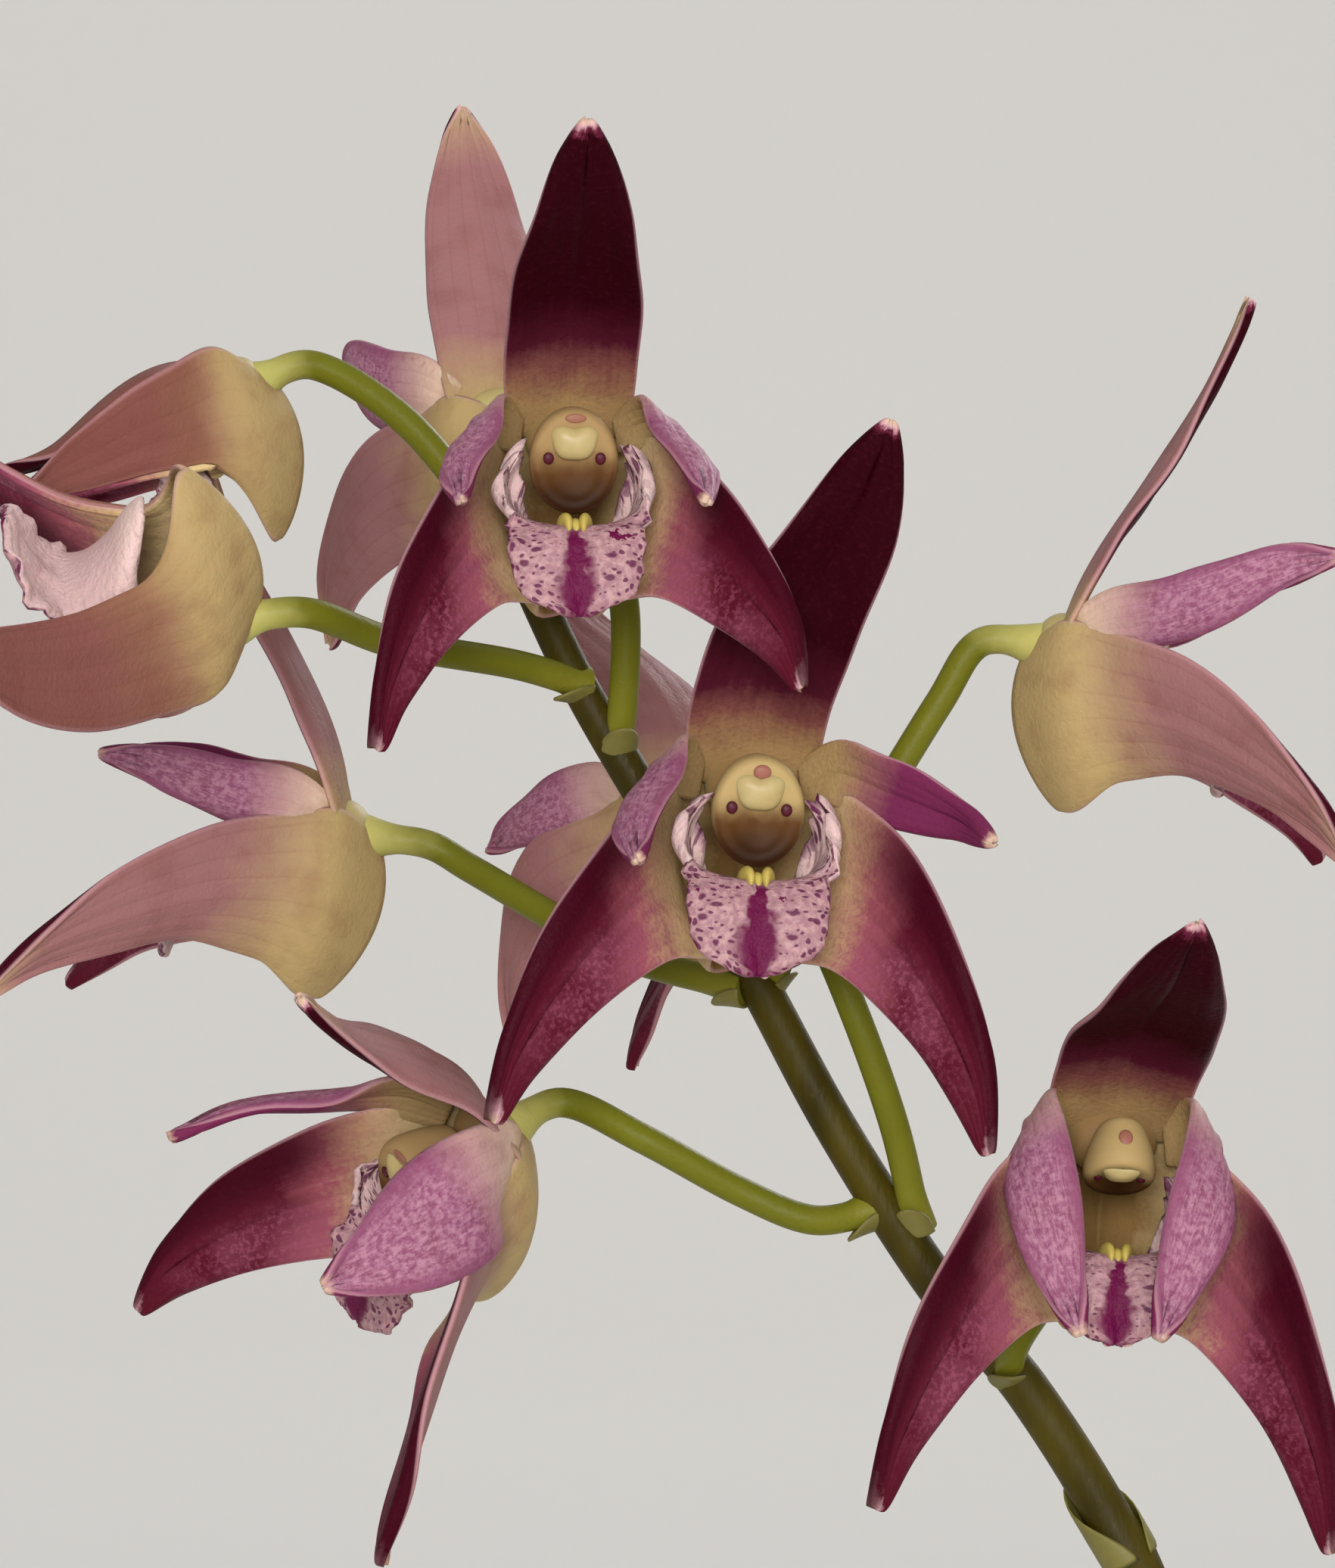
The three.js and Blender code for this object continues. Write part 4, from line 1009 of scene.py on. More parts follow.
def column_forms(bloom):
    """The column with its hollow front, its cap, the two dots beside it and the mark above it."""
    tilt, size = bloom.get("tilt", 0), bloom.get("column", 1)
    mark = np.array(bloom.get("mark", MARK_PLACE))
    mark_size = np.array(bloom.get("mark_size", MARK_RADII))
    steps = np.linspace(0, 1, COLUMN_STEPS)
    wide, tall, height, forward = np.moveaxis(along(COLUMN_RINGS, steps), -1, 0)
    zero = np.zeros_like(steps)
    centres = np.stack([zero, height, forward], axis=1)
    wides = np.stack([np.maximum(wide, 0.02), zero, zero], axis=1)
    deeps = np.stack([zero, np.maximum(tall, 0.02), zero], axis=1)
    body = rings(centres, wides, deeps, COLUMN_SIDES, finish=0)
    body.across = body.points[:, 1] / COLUMN_HALF_HEIGHT
    forms = [body, cap_form()]
    for side in (-1, 1):
        forms.append(ellipsoid(DOT_PLACE * [side, 1, 1], DOT_RADII, 12, 8, finish=2))
    forms.append(ellipsoid(mark, mark_size, 16, 10, finish=3))
    foot = COLUMN_ROOT + COLUMN_TILT_ROOM * math.sin(math.radians(tilt))
    for form in forms:
        form.points = turned((form.points - COLUMN_ROOT) * size, 0, math.radians(tilt)) + foot
    return forms


# Bloom finishes

def tepal_finish(name, s, inside, outside, bloom_in=0.0, dark_margin=0.0, crystals=0.0, reach_low=0.0):
    """Flesh of a sepal or petal: the colours of its inner and outer side from base to tip."""
    f = living(name, 0.5, 0.04)
    place, across, side = f.value("along"), f.value("across"), f.value("inside")
    streaks = f.noise(f.vector(f.times(across, 7.0), f.times(place, 2.2)), 1.6, 3)
    clouds = f.patches(420, 3)
    grain = f.patches(3200, 3, 0.6)
    shift = f.swayed(place, streaks, 0.045)
    shift = f.plus(shift, f.step(across, 0.2, -1.0), -reach_low)
    shift = f.swayed(shift, clouds, 0.1)
    shift = f.swayed(shift, grain, 0.05)
    margin = f.math("ABSOLUTE", across)
    inner = f.ramp(shift, inside)
    if bloom_in:
        zone = f.times(f.step(place, 0.36, 0.54), f.step(place, 0.95, 0.6))
        zone = f.times(zone, f.step(across, 0.45, -0.35))
        sparkle = f.times(f.step(grain, 0.46, 0.64), 0.6)
        soft = f.plus(sparkle, f.step(clouds, 0.3, 0.7), 0.6)
        inner = f.mix(f.times(f.times(zone, soft), bloom_in), inner, s.mottle)
    if dark_margin:
        outer = f.times(f.step(across, 0.15, 0.85), f.step(place, 0.36, 0.55))
        inner = f.mix(f.times(outer, dark_margin), inner, s.wine_dark)
    inner = f.over(inner, s.rose, grain, 0.52, 0.7, 0.1)
    inner = f.over(inner, s.edge, margin, 0.965, 0.995, 0.5)
    outer = f.ramp(shift, outside)
    lines = f.folded(across, 11.0)
    veins = f.times(f.step(lines, 0.3, 0.0), f.step(place, 0.1, 0.4))
    outer = f.mix(f.times(veins, 0.16), outer, s.brown)
    outer = f.over(outer, s.brown, clouds, 0.45, 0.75, 0.25)
    if crystals:
        frost = f.noise(f.vector(f.times(across, 9.0), f.times(place, 13.0)), 1.7, 4, 0.65)
        specks = f.patches(2600, 3, 0.65)
        frost = f.swayed(frost, specks, 1.1)
        pale = f.times(f.step(frost, 0.25, 0.8), f.step(margin, 1.05, 0.45))
        pale = f.times(f.times(pale, f.step(place, 0.15, 0.5)), crystals)
        outer = f.mix(pale, outer, s.fleck)
        net = f.times(f.step(f.patches(1500, 3), 0.56, 0.7), f.step(margin, 0.3, 0.9))
        outer = f.mix(f.times(net, 0.3), outer, s.petal_in)
    blush = f.times(f.value("tone"), f.step(place, 0.12, 0.4))
    outer = f.mix(f.times(blush, 0.75), outer, s.brown)
    outer = f.over(outer, s.edge, margin, 0.94, 1.0, 0.4)
    relief = f.plus(f.times(grain, 0.9), lines, 0.35)
    f.bump(relief, 0.00014, 0.6)
    gloss = f.plus(0.38, clouds, 0.2)
    return f.done(f.mix(side, outer, inner), gloss)


def bloom_finishes(s):
    """The lateral sepals', the dorsal sepal's, the petals' and the receptacle's, in this order."""
    # chin: the chin's inside, deep under the column, made darker as painted shade; root: the petals'
    # cream base.
    chin, root = linear(126, 98, 58), linear(164, 136, 92)
    dorsal = [(0, s.cream), (0.13, s.cream), (0.22, linear(112, 66, 60)), (0.3, linear(70, 18, 34)),
              (0.44, s.maroon), (0.94, s.maroon), (0.965, s.rose), (0.985, s.edge), (1, s.tip)]
    dorsal_back = [(0, s.back_cream), (0.06, s.back_cream), (0.26, s.back_pink), (0.8, s.back_pink),
                   (0.93, s.back_tan), (1, s.tip)]
    # Along the lateral sepals' inside, the throat zone is lightened with painted light against the
    # shade under the column.
    lateral = [(0, chin), (0.08, chin), (0.2, s.throat), (0.3, s.throat), (0.4, linear(178, 142, 110)),
               (0.48, linear(140, 74, 84)), (0.57, s.wine), (0.93, s.wine), (0.985, s.edge), (1, s.tip)]
    lateral_back = [(0, s.back_cream), (0.22, s.back_cream), (0.46, s.back_pink), (0.82, s.back_pink),
                    (0.95, s.back_tan), (1, s.tip)]
    petal = [(0, root), (0.24, root), (0.38, linear(140, 92, 88)), (0.52, s.petal_in),
             (0.95, s.petal_in), (1, s.tip)]
    petal_back = [(0, s.back_cream), (0.14, linear(202, 172, 152)), (0.42, s.petal_out),
                  (0.94, s.petal_out), (1, s.tip)]
    receptacle = living("receptacle_flesh", 0.5, 0.2)
    tint = receptacle.patches(500, 2)
    back = receptacle.mix(tint, s.back_cream, linear(176, 168, 104))
    front = receptacle.step(receptacle.value("along"), 0.45, 0.7)
    return [
        tepal_finish("lateral_flesh", s, lateral, lateral_back, bloom_in=0.7, dark_margin=0.9,
                     reach_low=0.07),
        tepal_finish("dorsal_flesh", s, dorsal, dorsal_back),
        tepal_finish("petal_flesh", s, petal, petal_back, crystals=0.75),
        receptacle.done(receptacle.mix(front, back, linear(142, 112, 72))),
    ]


def lip_finishes(s):
    """The lip's, spotted and striped, and the callus's."""
    f = living("lip_flesh", 0.55, 0.2, 0.12, 0.001)
    place, across = f.value("along"), f.value("across")
    margin = f.math("ABSOLUTE", across)
    warp = f.patches(900, 2)
    fine = f.patches(2600, 3, 0.6)
    ground = f.mix(f.step(fine, 0.35, 0.7), s.pale, linear(180, 142, 142))
    ground = f.mix(f.step(place, 0.3, 0.08), ground, linear(206, 184, 162))
    # The side lobes' ground is lighter: partly their own white-pink, partly painted light that lifts
    # the shade beside the column.
    arms = f.times(f.step(place, 0.62, 0.5), f.step(margin, 0.3, 0.6))
    ground = f.mix(f.times(arms, 0.7), ground, linear(210, 178, 174))
    x = f.plus(f.times(across, 4.2), warp, 0.35)
    y = f.plus(f.times(place, 17.0), warp, 0.45)
    small = f.cells(f.vector(f.times(x, 0.55), y), 2.1)
    large = f.cells(f.vector(f.times(x, 0.5), f.math("ADD", y, 5.0)), 1.0)
    size = f.plus(0.12, f.step(margin, 0.25, 0.9), 0.1)
    size = f.swayed(size, warp, 0.4)
    spots = f.math("MAXIMUM", f.step(f.math("SUBTRACT", small, size), 0.06, -0.05),
                   f.step(large, 0.2, 0.1))
    shown = f.times(f.step(margin, 0.06, 0.35), f.step(place, 0.16, 0.28))
    colour = f.mix(f.times(f.times(spots, shown), 0.9), ground, s.spot)
    rays = f.noise(f.vector(f.times(across, 2.6), f.times(place, 46.0)), 1.0, 2)
    dashes = f.times(f.step(rays, 0.58, 0.62), arms)
    colour = f.mix(f.times(dashes, 0.8), colour, s.spot)
    rim = f.times(f.step(margin, 0.86, 1.0), f.step(warp, 0.42, 0.6))
    colour = f.mix(f.times(rim, 0.8), colour, s.spot)
    width = f.plus(0.05, f.step(place, 0.68, 0.82), 0.12)
    width = f.plus(width, f.step(place, 0.82, 0.96), 0.24)
    width = f.swayed(width, fine, 0.22)
    width = f.swayed(width, warp, 0.36)
    inner = f.math("DIVIDE", margin, width)
    stripe = f.times(f.step(inner, 1.3, 0.6), f.step(place, 0.6, 0.68))
    tip = f.times(f.step(place, 0.93, 0.99), 0.8)
    stripe = f.math("MAXIMUM", stripe, tip)
    colour = f.mix(stripe, colour, s.stripe)
    outside = f.times(f.value("inside"), 0.72)
    colour = f.mix(outside, colour, linear(206, 176, 172))
    f.bump(fine, 0.00022, 0.7)
    lip = f.done(colour)
    g = living("callus_flesh", 0.45, 0.2, 0.08, 0.001)
    callus = g.done(g.mix(g.patches(1500, 2), s.callus, linear(190, 172, 90)))
    return [lip, callus]


def column_finishes(s):
    """The column's, the cap's, the two dots' and the mark's."""
    f = living("column_flesh", 0.5, 0.08)
    cloud = f.patches(900, 2)
    place = f.swayed(f.value("along"), cloud, 0.06)
    height = f.swayed(f.value("across"), cloud, 0.3)
    skin = f.mix(f.value("tone"), s.column, linear(184, 162, 108))
    # The hollow front darkens towards its bottom and is darkest deep in the hollow: painted shade of
    # the concave front.
    shaded_bowl = f.mix(f.step(height, 0.26, -0.34), skin, linear(84, 52, 22))
    shaded_bowl = f.mix(f.step(height, -0.2, -0.9), shaded_bowl, s.hollow)
    # The column's outside darkens on its lower side: painted shade of its underside.
    outside = f.mix(f.step(height, 0.1, -0.7), skin, linear(96, 62, 42))
    column = f.done(f.mix(f.step(place, 0.48, 0.66), outside, shaded_bowl))
    g = living("cap_flesh", 0.4, 0.3, 0.15)
    cap = g.done(g.mix(g.patches(1300, 2), s.cap, linear(182, 164, 116)))
    h = Finish("dot_flesh", Roughness=0.45, Specular_IOR_Level=0.2)
    dots = h.done(h.mix(h.patches(3000, 2), linear(80, 16, 32), linear(56, 8, 22)))
    k = Finish("mark_flesh", Roughness=0.45, Specular_IOR_Level=0.2)
    blot = k.mix(k.value("tone"), linear(140, 88, 72), linear(140, 74, 74))
    mark = k.done(k.mix(k.times(k.patches(2500, 2), 0.6), blot, linear(138, 102, 72)))
    return [column, cap, dots, mark]


# Stem, canes and leaves

def stem_rows():
    """The given places of the flower stem, from the cane's top to the raceme's end."""
    return PEDUNCLE_LINE + [seen_at(*place).tolist() for place in RACHIS_SEEN]


def pedicel_line(bloom, count):
    """A bloom's stalk from the stem to its joint, as points."""
    matrix, origin = bloom_place(bloom)
    rows = [seen_at(*place) for place in bloom["route"]]
    rows += [matrix @ JOINT_APPROACH + origin, matrix @ JOINT_PLACE + origin]
    return along(np.array(rows), np.linspace(0, 1, count))


def cane_height(cane):
    """How far a cane's top stands above its foot, which is under the bark."""
    return cane["top"][2] - (BARK_SURFACE - CANE_DEPTH)


def cane_place(cane, t):
    """A cane's middle, bowed outwards as it rises."""
    foot = np.array([*cane["foot"], BARK_SURFACE - CANE_DEPTH], dtype=float)
    top = np.array(cane["top"], dtype=float)
    bowed = smooth(0, 1, t) * 0.35 + t * t * 0.65
    share = np.stack([bowed, bowed, t], axis=-1)
    return foot + (top - foot) * share


def cane_radius(cane, t):
    """A cane's half-width without its ridges."""
    return np.maximum(cane["radius"] * along(CANE_OUTLINE, t)[..., 0], CANE_TOP_RADIUS)


def cane_forms(cane, settings, seed):
    """A ribbed, jointed stem that narrows a little at each ring and swells between them."""
    t = np.linspace(0, 1, CANE_STEPS)
    centre = cane_place(cane, t)
    joints = cane_height(cane) / (settings.internode / MM)
    phase = np.mod(t * joints, 1)
    radius = cane_radius(cane, t) * (JOINT_WAIST + JOINT_SWELL * np.sin(np.pi * phase) ** 0.7)
    forward = unit(np.gradient(centre, axis=0))
    wide = unit(np.array([1.0, 0, 0]) - dot(forward, np.array([1.0, 0, 0])) * forward)
    deep = np.cross(forward, wide)
    angle = np.arange(CANE_SIDES) / CANE_SIDES * 2 * np.pi
    depth = settings.rib_depth / MM * smooth(0, 0.15, t) * (1 - smooth(0.9, 1, t))
    shift = 0.5 * np.floor(t * joints)
    ribs = depth[:, None] * np.cos(settings.ribs * angle[None] + shift[:, None] + seed)
    spread = radius[:, None] + ribs - depth[:, None]
    spread = spread * rounded_end(t)[:, None]
    points = (centre[:, None] + wide[:, None] * (spread * np.cos(angle))[..., None]
              + deep[:, None] * (spread * np.sin(angle))[..., None])
    form = rings(centre, wide, deep, CANE_SIDES)
    form.points[:CANE_STEPS * CANE_SIDES] = points.reshape(-1, 3)
    forms = [form]
    for number in range(int(joints * SHEATHED_SHARE)):
        forms.append(sheath_form(cane, number / joints, 1.1 / joints, seed + number))
    return forms


def sheath_form(cane, start, long, seed):
    """A dry sheath wrapped round one internode, open down one side and torn along its upper edge."""
    half_turn, narrowing = 3.1, 0.55
    tear, nick, tooth, slant = 0.1, 0.05, 0.035, 0.12
    room, flare, crinkle_depth = 0.2, 0.32, 0.07

    def surface(u, t):
        angle = seed * 2.4 + u * (half_turn - narrowing * t * t)
        torn = tear * np.abs(np.sin(angle * 1.5 + seed)) ** 3
        torn = torn + nick * np.abs(np.sin(angle * 5.3 + 2 * seed))
        torn = torn + tooth * np.sin(angle * 17 + seed) * smooth(0.6, 1, t)
        share = start + long * t * (1 - torn - slant * np.abs(u) ** 3)
        centre = cane_place(cane, share)
        crinkle = crinkle_depth * np.sin(angle * 11 + seed) * smooth(0.2, 1, t)
        radius = cane_radius(cane, share) + room + flare * t * t + crinkle
        sideways = np.stack([np.cos(angle), np.sin(angle), np.zeros_like(u)], axis=-1)
        return centre + sideways * radius[..., None]

    return blade(surface, PAPER_STEPS, PAPER_THICKNESS, False, finish=1)


def leaf_forms(leaf, settings, seed):
    """A grooved, wavy leaf blade and the clasp that holds it to its cane."""
    cane_number, below, pointing, long, rise, tip = leaf
    cane = CANES[cane_number - 1]
    height = cane_height(cane)
    t0 = np.array(1 - below / height)
    angle = math.radians(pointing)
    outward = np.array([math.cos(angle), math.sin(angle), 0])
    sideways = np.array([math.sin(angle), -math.cos(angle), 0])
    upward = np.array([0, 0, 1])
    start = cane_place(cane, t0) + outward * (cane_radius(cane, t0) + LEAF_ROOM)
    first, turn = math.radians(rise), math.radians(tip - rise)
    half_width = settings.width / MM / 2
    sway_reach, groove_depth, groove_width = 1.2, 0.55, 0.07
    waves, pleat_height, pleats = 1.6, 0.05, 26
    clasp_room, clasp_flare, clasp_turn = 0.3, 0.5, 2.3

    def surface(u, t):
        bend = first + turn * t
        out = long * (np.sin(bend) - math.sin(first)) / turn
        up = long * (math.cos(first) - np.cos(bend)) / turn
        half = half_width * along(LEAF_OUTLINE, t)[..., 0]
        fold = LEAF_FOLD * half * u * u
        sway = sway_reach * np.sin(np.pi * t) * math.sin(seed)
        return (start + outward * (out - fold * np.sin(bend))[..., None]
                + sideways * (half * u + sway)[..., None]
                + upward * (up + fold * np.cos(bend))[..., None])

    def relief(u, t):
        groove = groove_depth * dip(u, groove_width) * smooth(0.02, 0.15, t) * (1 - smooth(0.8, 1, t))
        swing = np.sin(2 * np.pi * waves * t + seed + u)
        wave = settings.wave / MM * smooth(0.4, 1, np.abs(u)) * swing
        pleat = pleat_height * np.cos(u * pleats) * smooth(0.05, 0.3, t)
        return -groove + wave * smooth(0.1, 0.4, t) + pleat

    def clasp(u, t):
        share = t0 + (-CLASP_BELOW + CLASP_LENGTH * t * (1 - 0.35 * u * u)) / height
        centre = cane_place(cane, np.minimum(share, 1.0))
        radius = cane_radius(cane, share) + clasp_room + clasp_flare * t * (1 - u * u)
        way = angle + u * clasp_turn
        ring = np.stack([np.cos(way), np.sin(way), np.zeros_like(u)], axis=-1)
        lifted = np.maximum(share - 1, 0) * height
        return centre + ring * radius[..., None] + upward * lifted[..., None]

    return [
        blade(surface, LEAF_STEPS, settings.thickness / MM, True, relief),
        blade(clasp, CLASP_STEPS, CLASP_THICKNESS, False, finish=1),
    ]


def stem_finishes(s):
    """The flower stem's, the pedicels' and the bracts'."""
    f = living("stem_skin", 0.5, 0.12, 0.05, 0.0015)
    cloud = f.patches(260, 3, stretch=(1, 1, 0.3))
    colour = f.mix(f.step(cloud, 0.3, 0.75), s.olive, linear(72, 62, 8))
    colour = f.over(colour, linear(88, 92, 38), f.height(), 0.345, 0.29, 0.75)
    colour = f.over(colour, linear(84, 66, 30), f.patches(2200, 2), 0.62, 0.75, 0.35)
    f.bump(f.patches(2400, 2, stretch=(1, 1, 0.25)), 0.00015, 0.5)
    stem = f.done(colour)
    g = living("pedicel_skin", 0.45, 0.12, 0.08, 0.0015)
    cloud = g.patches(420, 2)
    place = g.swayed(g.value("along"), cloud, 0.15)
    tone = g.ramp(place, [(0, linear(120, 116, 34)), (0.2, s.lime), (0.82, s.lime),
                          (1, linear(186, 178, 104))])
    tone = g.over(tone, linear(106, 112, 22), cloud, 0.45, 0.8, 0.35)
    g.bump(g.patches(3000, 2), 0.0001, 0.4)
    pedicel = g.done(tone)
    h = Finish("bract_skin", Roughness=0.6)
    bract = h.done(h.mix(h.patches(1500, 3), s.bract, linear(92, 88, 30)))
    return [stem, pedicel, bract]


def cane_finishes(s):
    """The canes', the papery sheaths' and the rings'."""
    f = Finish("cane_skin", Roughness=0.5, Specular_IOR_Level=0.4)
    cloud = f.patches(70, 4, stretch=(1, 1, 0.35))
    fine = f.patches(900, 3, stretch=(1, 1, 0.12))
    colour = f.mix(f.step(cloud, 0.4, 0.66), s.green, s.aged)
    colour = f.over(colour, linear(76, 74, 34), fine, 0.5, 0.8, 0.4)
    colour = f.over(colour, s.ring, f.value("along"), 0.3, 0.05, 0.6)
    f.bump(fine, 0.0004, 0.7)
    cane = f.done(colour, f.plus(0.35, cloud, 0.3))
    g = Finish("sheath_paper", Roughness=0.75)
    fibres = g.patches(1400, 4, stretch=(1, 1, 0.06))
    stain = g.patches(110, 4, stretch=(1, 1, 0.5))
    tone = g.mix(g.step(fibres, 0.35, 0.7), s.paper, linear(148, 126, 94))
    tone = g.over(tone, linear(112, 92, 64), stain, 0.45, 0.7, 0.7)
    thin = g.times(g.step(g.value("along"), 0.75, 0.1), g.step(fibres, 0.6, 0.35))
    tone = g.mix(g.times(thin, 0.45), tone, linear(122, 122, 68))
    g.bump(fibres, 0.0004, 0.9)
    paper = g.done(tone)
    h = Finish("ring_scar", Roughness=0.7)
    ring = h.done(h.mix(h.patches(900, 3), s.ring, linear(86, 66, 44)))
    return [cane, paper, ring]


def leaf_finishes(s):
    """The blades' and the clasps'."""
    f = living("leaf_skin", 0.36, 0.45, 0.05, 0.002)
    place, across = f.value("along"), f.value("across")
    margin = f.math("ABSOLUTE", across)
    cloud = f.patches(60, 4)
    top = f.mix(f.step(cloud, 0.35, 0.7), s.top, linear(76, 114, 46))
    lines = f.folded(across, 44.0)
    top = f.over(top, s.rib, lines, 0.35, 0.0, 0.22)
    top = f.over(top, s.rib, margin, 0.07, 0.02, 0.8)
    worn = f.times(f.step(f.plus(place, cloud, 0.3), 1.02, 1.2), f.value("tone"))
    top = f.mix(worn, top, s.worn)
    top = f.over(top, s.rib, margin, 0.965, 1.0, 0.6)
    under = f.over(s.under, linear(86, 112, 56), lines, 0.35, 0.0, 0.3)
    fine = f.patches(2200, 2)
    f.bump(f.plus(f.times(fine, 0.4), lines, 0.6), 0.00025, 0.6)
    leaf = f.done(f.mix(f.value("inside"), under, top), f.plus(0.28, cloud, 0.2))
    g = Finish("clasp_skin", Roughness=0.5, Specular_IOR_Level=0.35)
    ribs = g.folded(g.value("across"), 26.0)
    haze = g.patches(240, 3)
    clasp = g.mix(g.step(g.plus(g.value("along"), haze, 0.5), 0.3, 1.1), linear(106, 112, 54), s.top)
    clasp = g.over(clasp, linear(70, 84, 34), ribs, 0.5, 0.0, 0.4)
    clasp = g.over(clasp, linear(142, 124, 78), g.value("along"), 0.9, 1.0, 0.5)
    g.bump(ribs, 0.0003, 0.6)
    return [leaf, g.done(clasp)]


# Geometry node trees

class Tree:
    """A geometry node tree in the making, with named inputs for its sizes."""

    def __init__(self, name, **inputs):
        self.group = bpy.data.node_groups.new(name, "GeometryNodeTree")
        face = self.group.interface
        face.new_socket("Geometry", in_out="INPUT", socket_type="NodeSocketGeometry")
        face.new_socket("Geometry", in_out="OUTPUT", socket_type="NodeSocketGeometry")
        for label, kind in inputs.items():
            face.new_socket(label.replace("_", " "), in_out="INPUT", socket_type="NodeSocket" + kind)
        self.entry = self.node("NodeGroupInput")
        self.exit = self.node("NodeGroupOutput")

    def node(self, kind, **settings):
        made = self.group.nodes.new(kind)
        for label, value in settings.items():
            setattr(made, label, value)
        return made

    def circle(self, radius=None, resolution=None):
        """A circle whose radius and resolution are numbers, or are linked later."""
        made = self.node("GeometryNodeCurvePrimitiveCircle")
        if radius is not None:
            made.inputs["Radius"].default_value = radius
        if resolution is not None:
            made.inputs["Resolution"].default_value = resolution
        return made

    def link(self, source, target):
        self.group.links.new(source, target)

    def feed(self, node, **sources):
        """Links outputs to a node's inputs by their names, with a low line for each space."""
        for label, source in sources.items():
            self.link(source, node.inputs[label.replace("_", " ")])

    def given(self, label):
        return self.entry.outputs[label]

    def smoothed(self, geometry):
        made = self.node("GeometryNodeSetShadeSmooth")
        self.feed(made, Geometry=geometry)
        return made.outputs["Geometry"]

    def end(self, geometry):
        """Makes what comes in real, gives it the tree's material and hands it out."""
        realize = self.node("GeometryNodeRealizeInstances")
        paint = self.node("GeometryNodeSetMaterial")
        self.feed(realize, Geometry=geometry)
        self.feed(paint, Geometry=realize.outputs["Geometry"], Material=self.given("Material"))
        self.link(paint.outputs["Geometry"], self.exit.inputs[0])

    def run(self, source, **values):
        """Runs the tree on an object and returns the result as a plain mesh of its own."""
        modifier = source.modifiers.new(self.group.name, "NODES")
        modifier.node_group = self.group
        for item in self.group.interface.items_tree:
            key = item.name.replace(" ", "_")
            if item.in_out == "INPUT" and key in values:
                modifier[item.identifier] = values[key]
        source.update_tag()
        graph = bpy.context.evaluated_depsgraph_get()
        mesh = bpy.data.meshes.new_from_object(source.evaluated_get(graph), depsgraph=graph)
        source.modifiers.remove(modifier)
        return mesh


def curve_object(name, lines, radii):
    """A curve object, in metres, with a spline for each line of points in millimetres."""
    curve = bpy.data.curves.new(name, "CURVE")
    curve.dimensions = "3D"
    for line, radius in zip(lines, radii):
        spline = curve.splines.new("POLY")
        spline.points.add(len(line) - 1)
        for point, place, size in zip(spline.points, line, radius):
            point.co = (*(np.asarray(place) * MM), 1)
            point.radius = size * MM
    made = bpy.data.objects.new(name, curve)
    bpy.context.scene.collection.objects.link(made)
    return made


def skin_tree():
    """Skins a curve with a round section whose size follows the curve's radius."""
    tree = Tree("stem_skinning", Sides="Int", Material="Material")
    store = tree.node("GeometryNodeStoreNamedAttribute", data_type="FLOAT", domain="POINT")
    store.inputs["Name"].default_value = "along"
    factor = tree.node("GeometryNodeSplineParameter")
    ring = tree.circle(radius=1)
    skin = tree.node("GeometryNodeCurveToMesh")
    skin.inputs["Fill Caps"].default_value = True
    tree.feed(store, Geometry=tree.given("Geometry"), Value=factor.outputs["Factor"])
    tree.feed(ring, Resolution=tree.given("Sides"))
    tree.feed(skin, Curve=store.outputs["Geometry"], Profile_Curve=ring.outputs["Curve"])
    if "Scale" in skin.inputs:
        radius = tree.node("GeometryNodeInputRadius")
        tree.feed(skin, Scale=radius.outputs["Radius"])
    tree.end(tree.smoothed(skin.outputs["Mesh"]))
    return tree


def ring_tree():
    """Sets a raised ring on a curve at each of a number of even steps, as wide as its radius."""
    tree = Tree("cane_rings", Count="Int", Thickness="Float", Material="Material")
    points = tree.node("GeometryNodeCurveToPoints", mode="COUNT")
    path = tree.circle(radius=1, resolution=40)
    section = tree.circle(resolution=8)
    torus = tree.node("GeometryNodeCurveToMesh")
    radius = tree.node("GeometryNodeInputRadius")
    instance = tree.node("GeometryNodeInstanceOnPoints")
    tree.feed(points, Curve=tree.given("Geometry"), Count=tree.given("Count"))
    tree.feed(section, Radius=tree.given("Thickness"))
    tree.feed(torus, Curve=path.outputs["Curve"], Profile_Curve=section.outputs["Curve"])
    tree.feed(instance, Points=points.outputs["Points"], Instance=tree.smoothed(torus.outputs["Mesh"]),
              Rotation=points.outputs["Rotation"], Scale=radius.outputs["Radius"])
    tree.end(instance.outputs["Instances"])
    return tree


def chip_tree():
    """Scatters chips from a collection over a surface, each turned and sized by a seeded draw."""
    tree = Tree("bark_scatter", Density="Float", Spacing="Float", Seed="Int",
                Chips="Collection", Material="Material")
    scatter = tree.node("GeometryNodeDistributePointsOnFaces", distribute_method="POISSON")
    info = tree.node("GeometryNodeCollectionInfo")
    info.inputs["Separate Children"].default_value = True
    info.inputs["Reset Children"].default_value = True
    angles = tree.node("FunctionNodeRandomValue", data_type="FLOAT_VECTOR")
    angles.inputs["Min"].default_value = [-tilt for tilt in CHIP_TILT]
    angles.inputs["Max"].default_value = CHIP_TILT
    sizes = tree.node("FunctionNodeRandomValue", data_type="FLOAT")
    sizes.inputs[2].default_value, sizes.inputs[3].default_value = CHIP_SIZES
    instance = tree.node("GeometryNodeInstanceOnPoints")
    instance.inputs["Pick Instance"].default_value = True
    tree.feed(scatter, Mesh=tree.given("Geometry"), Density_Max=tree.given("Density"),
              Distance_Min=tree.given("Spacing"))
    for node in (scatter, angles, sizes):
        tree.feed(node, Seed=tree.given("Seed"))
    tree.feed(info, Collection=tree.given("Chips"))
    tree.feed(instance, Points=scatter.outputs["Points"], Instance=info.outputs["Instances"],
              Rotation=angles.outputs["Value"], Scale=sizes.outputs[1])
    tree.end(instance.outputs["Instances"])
    return tree


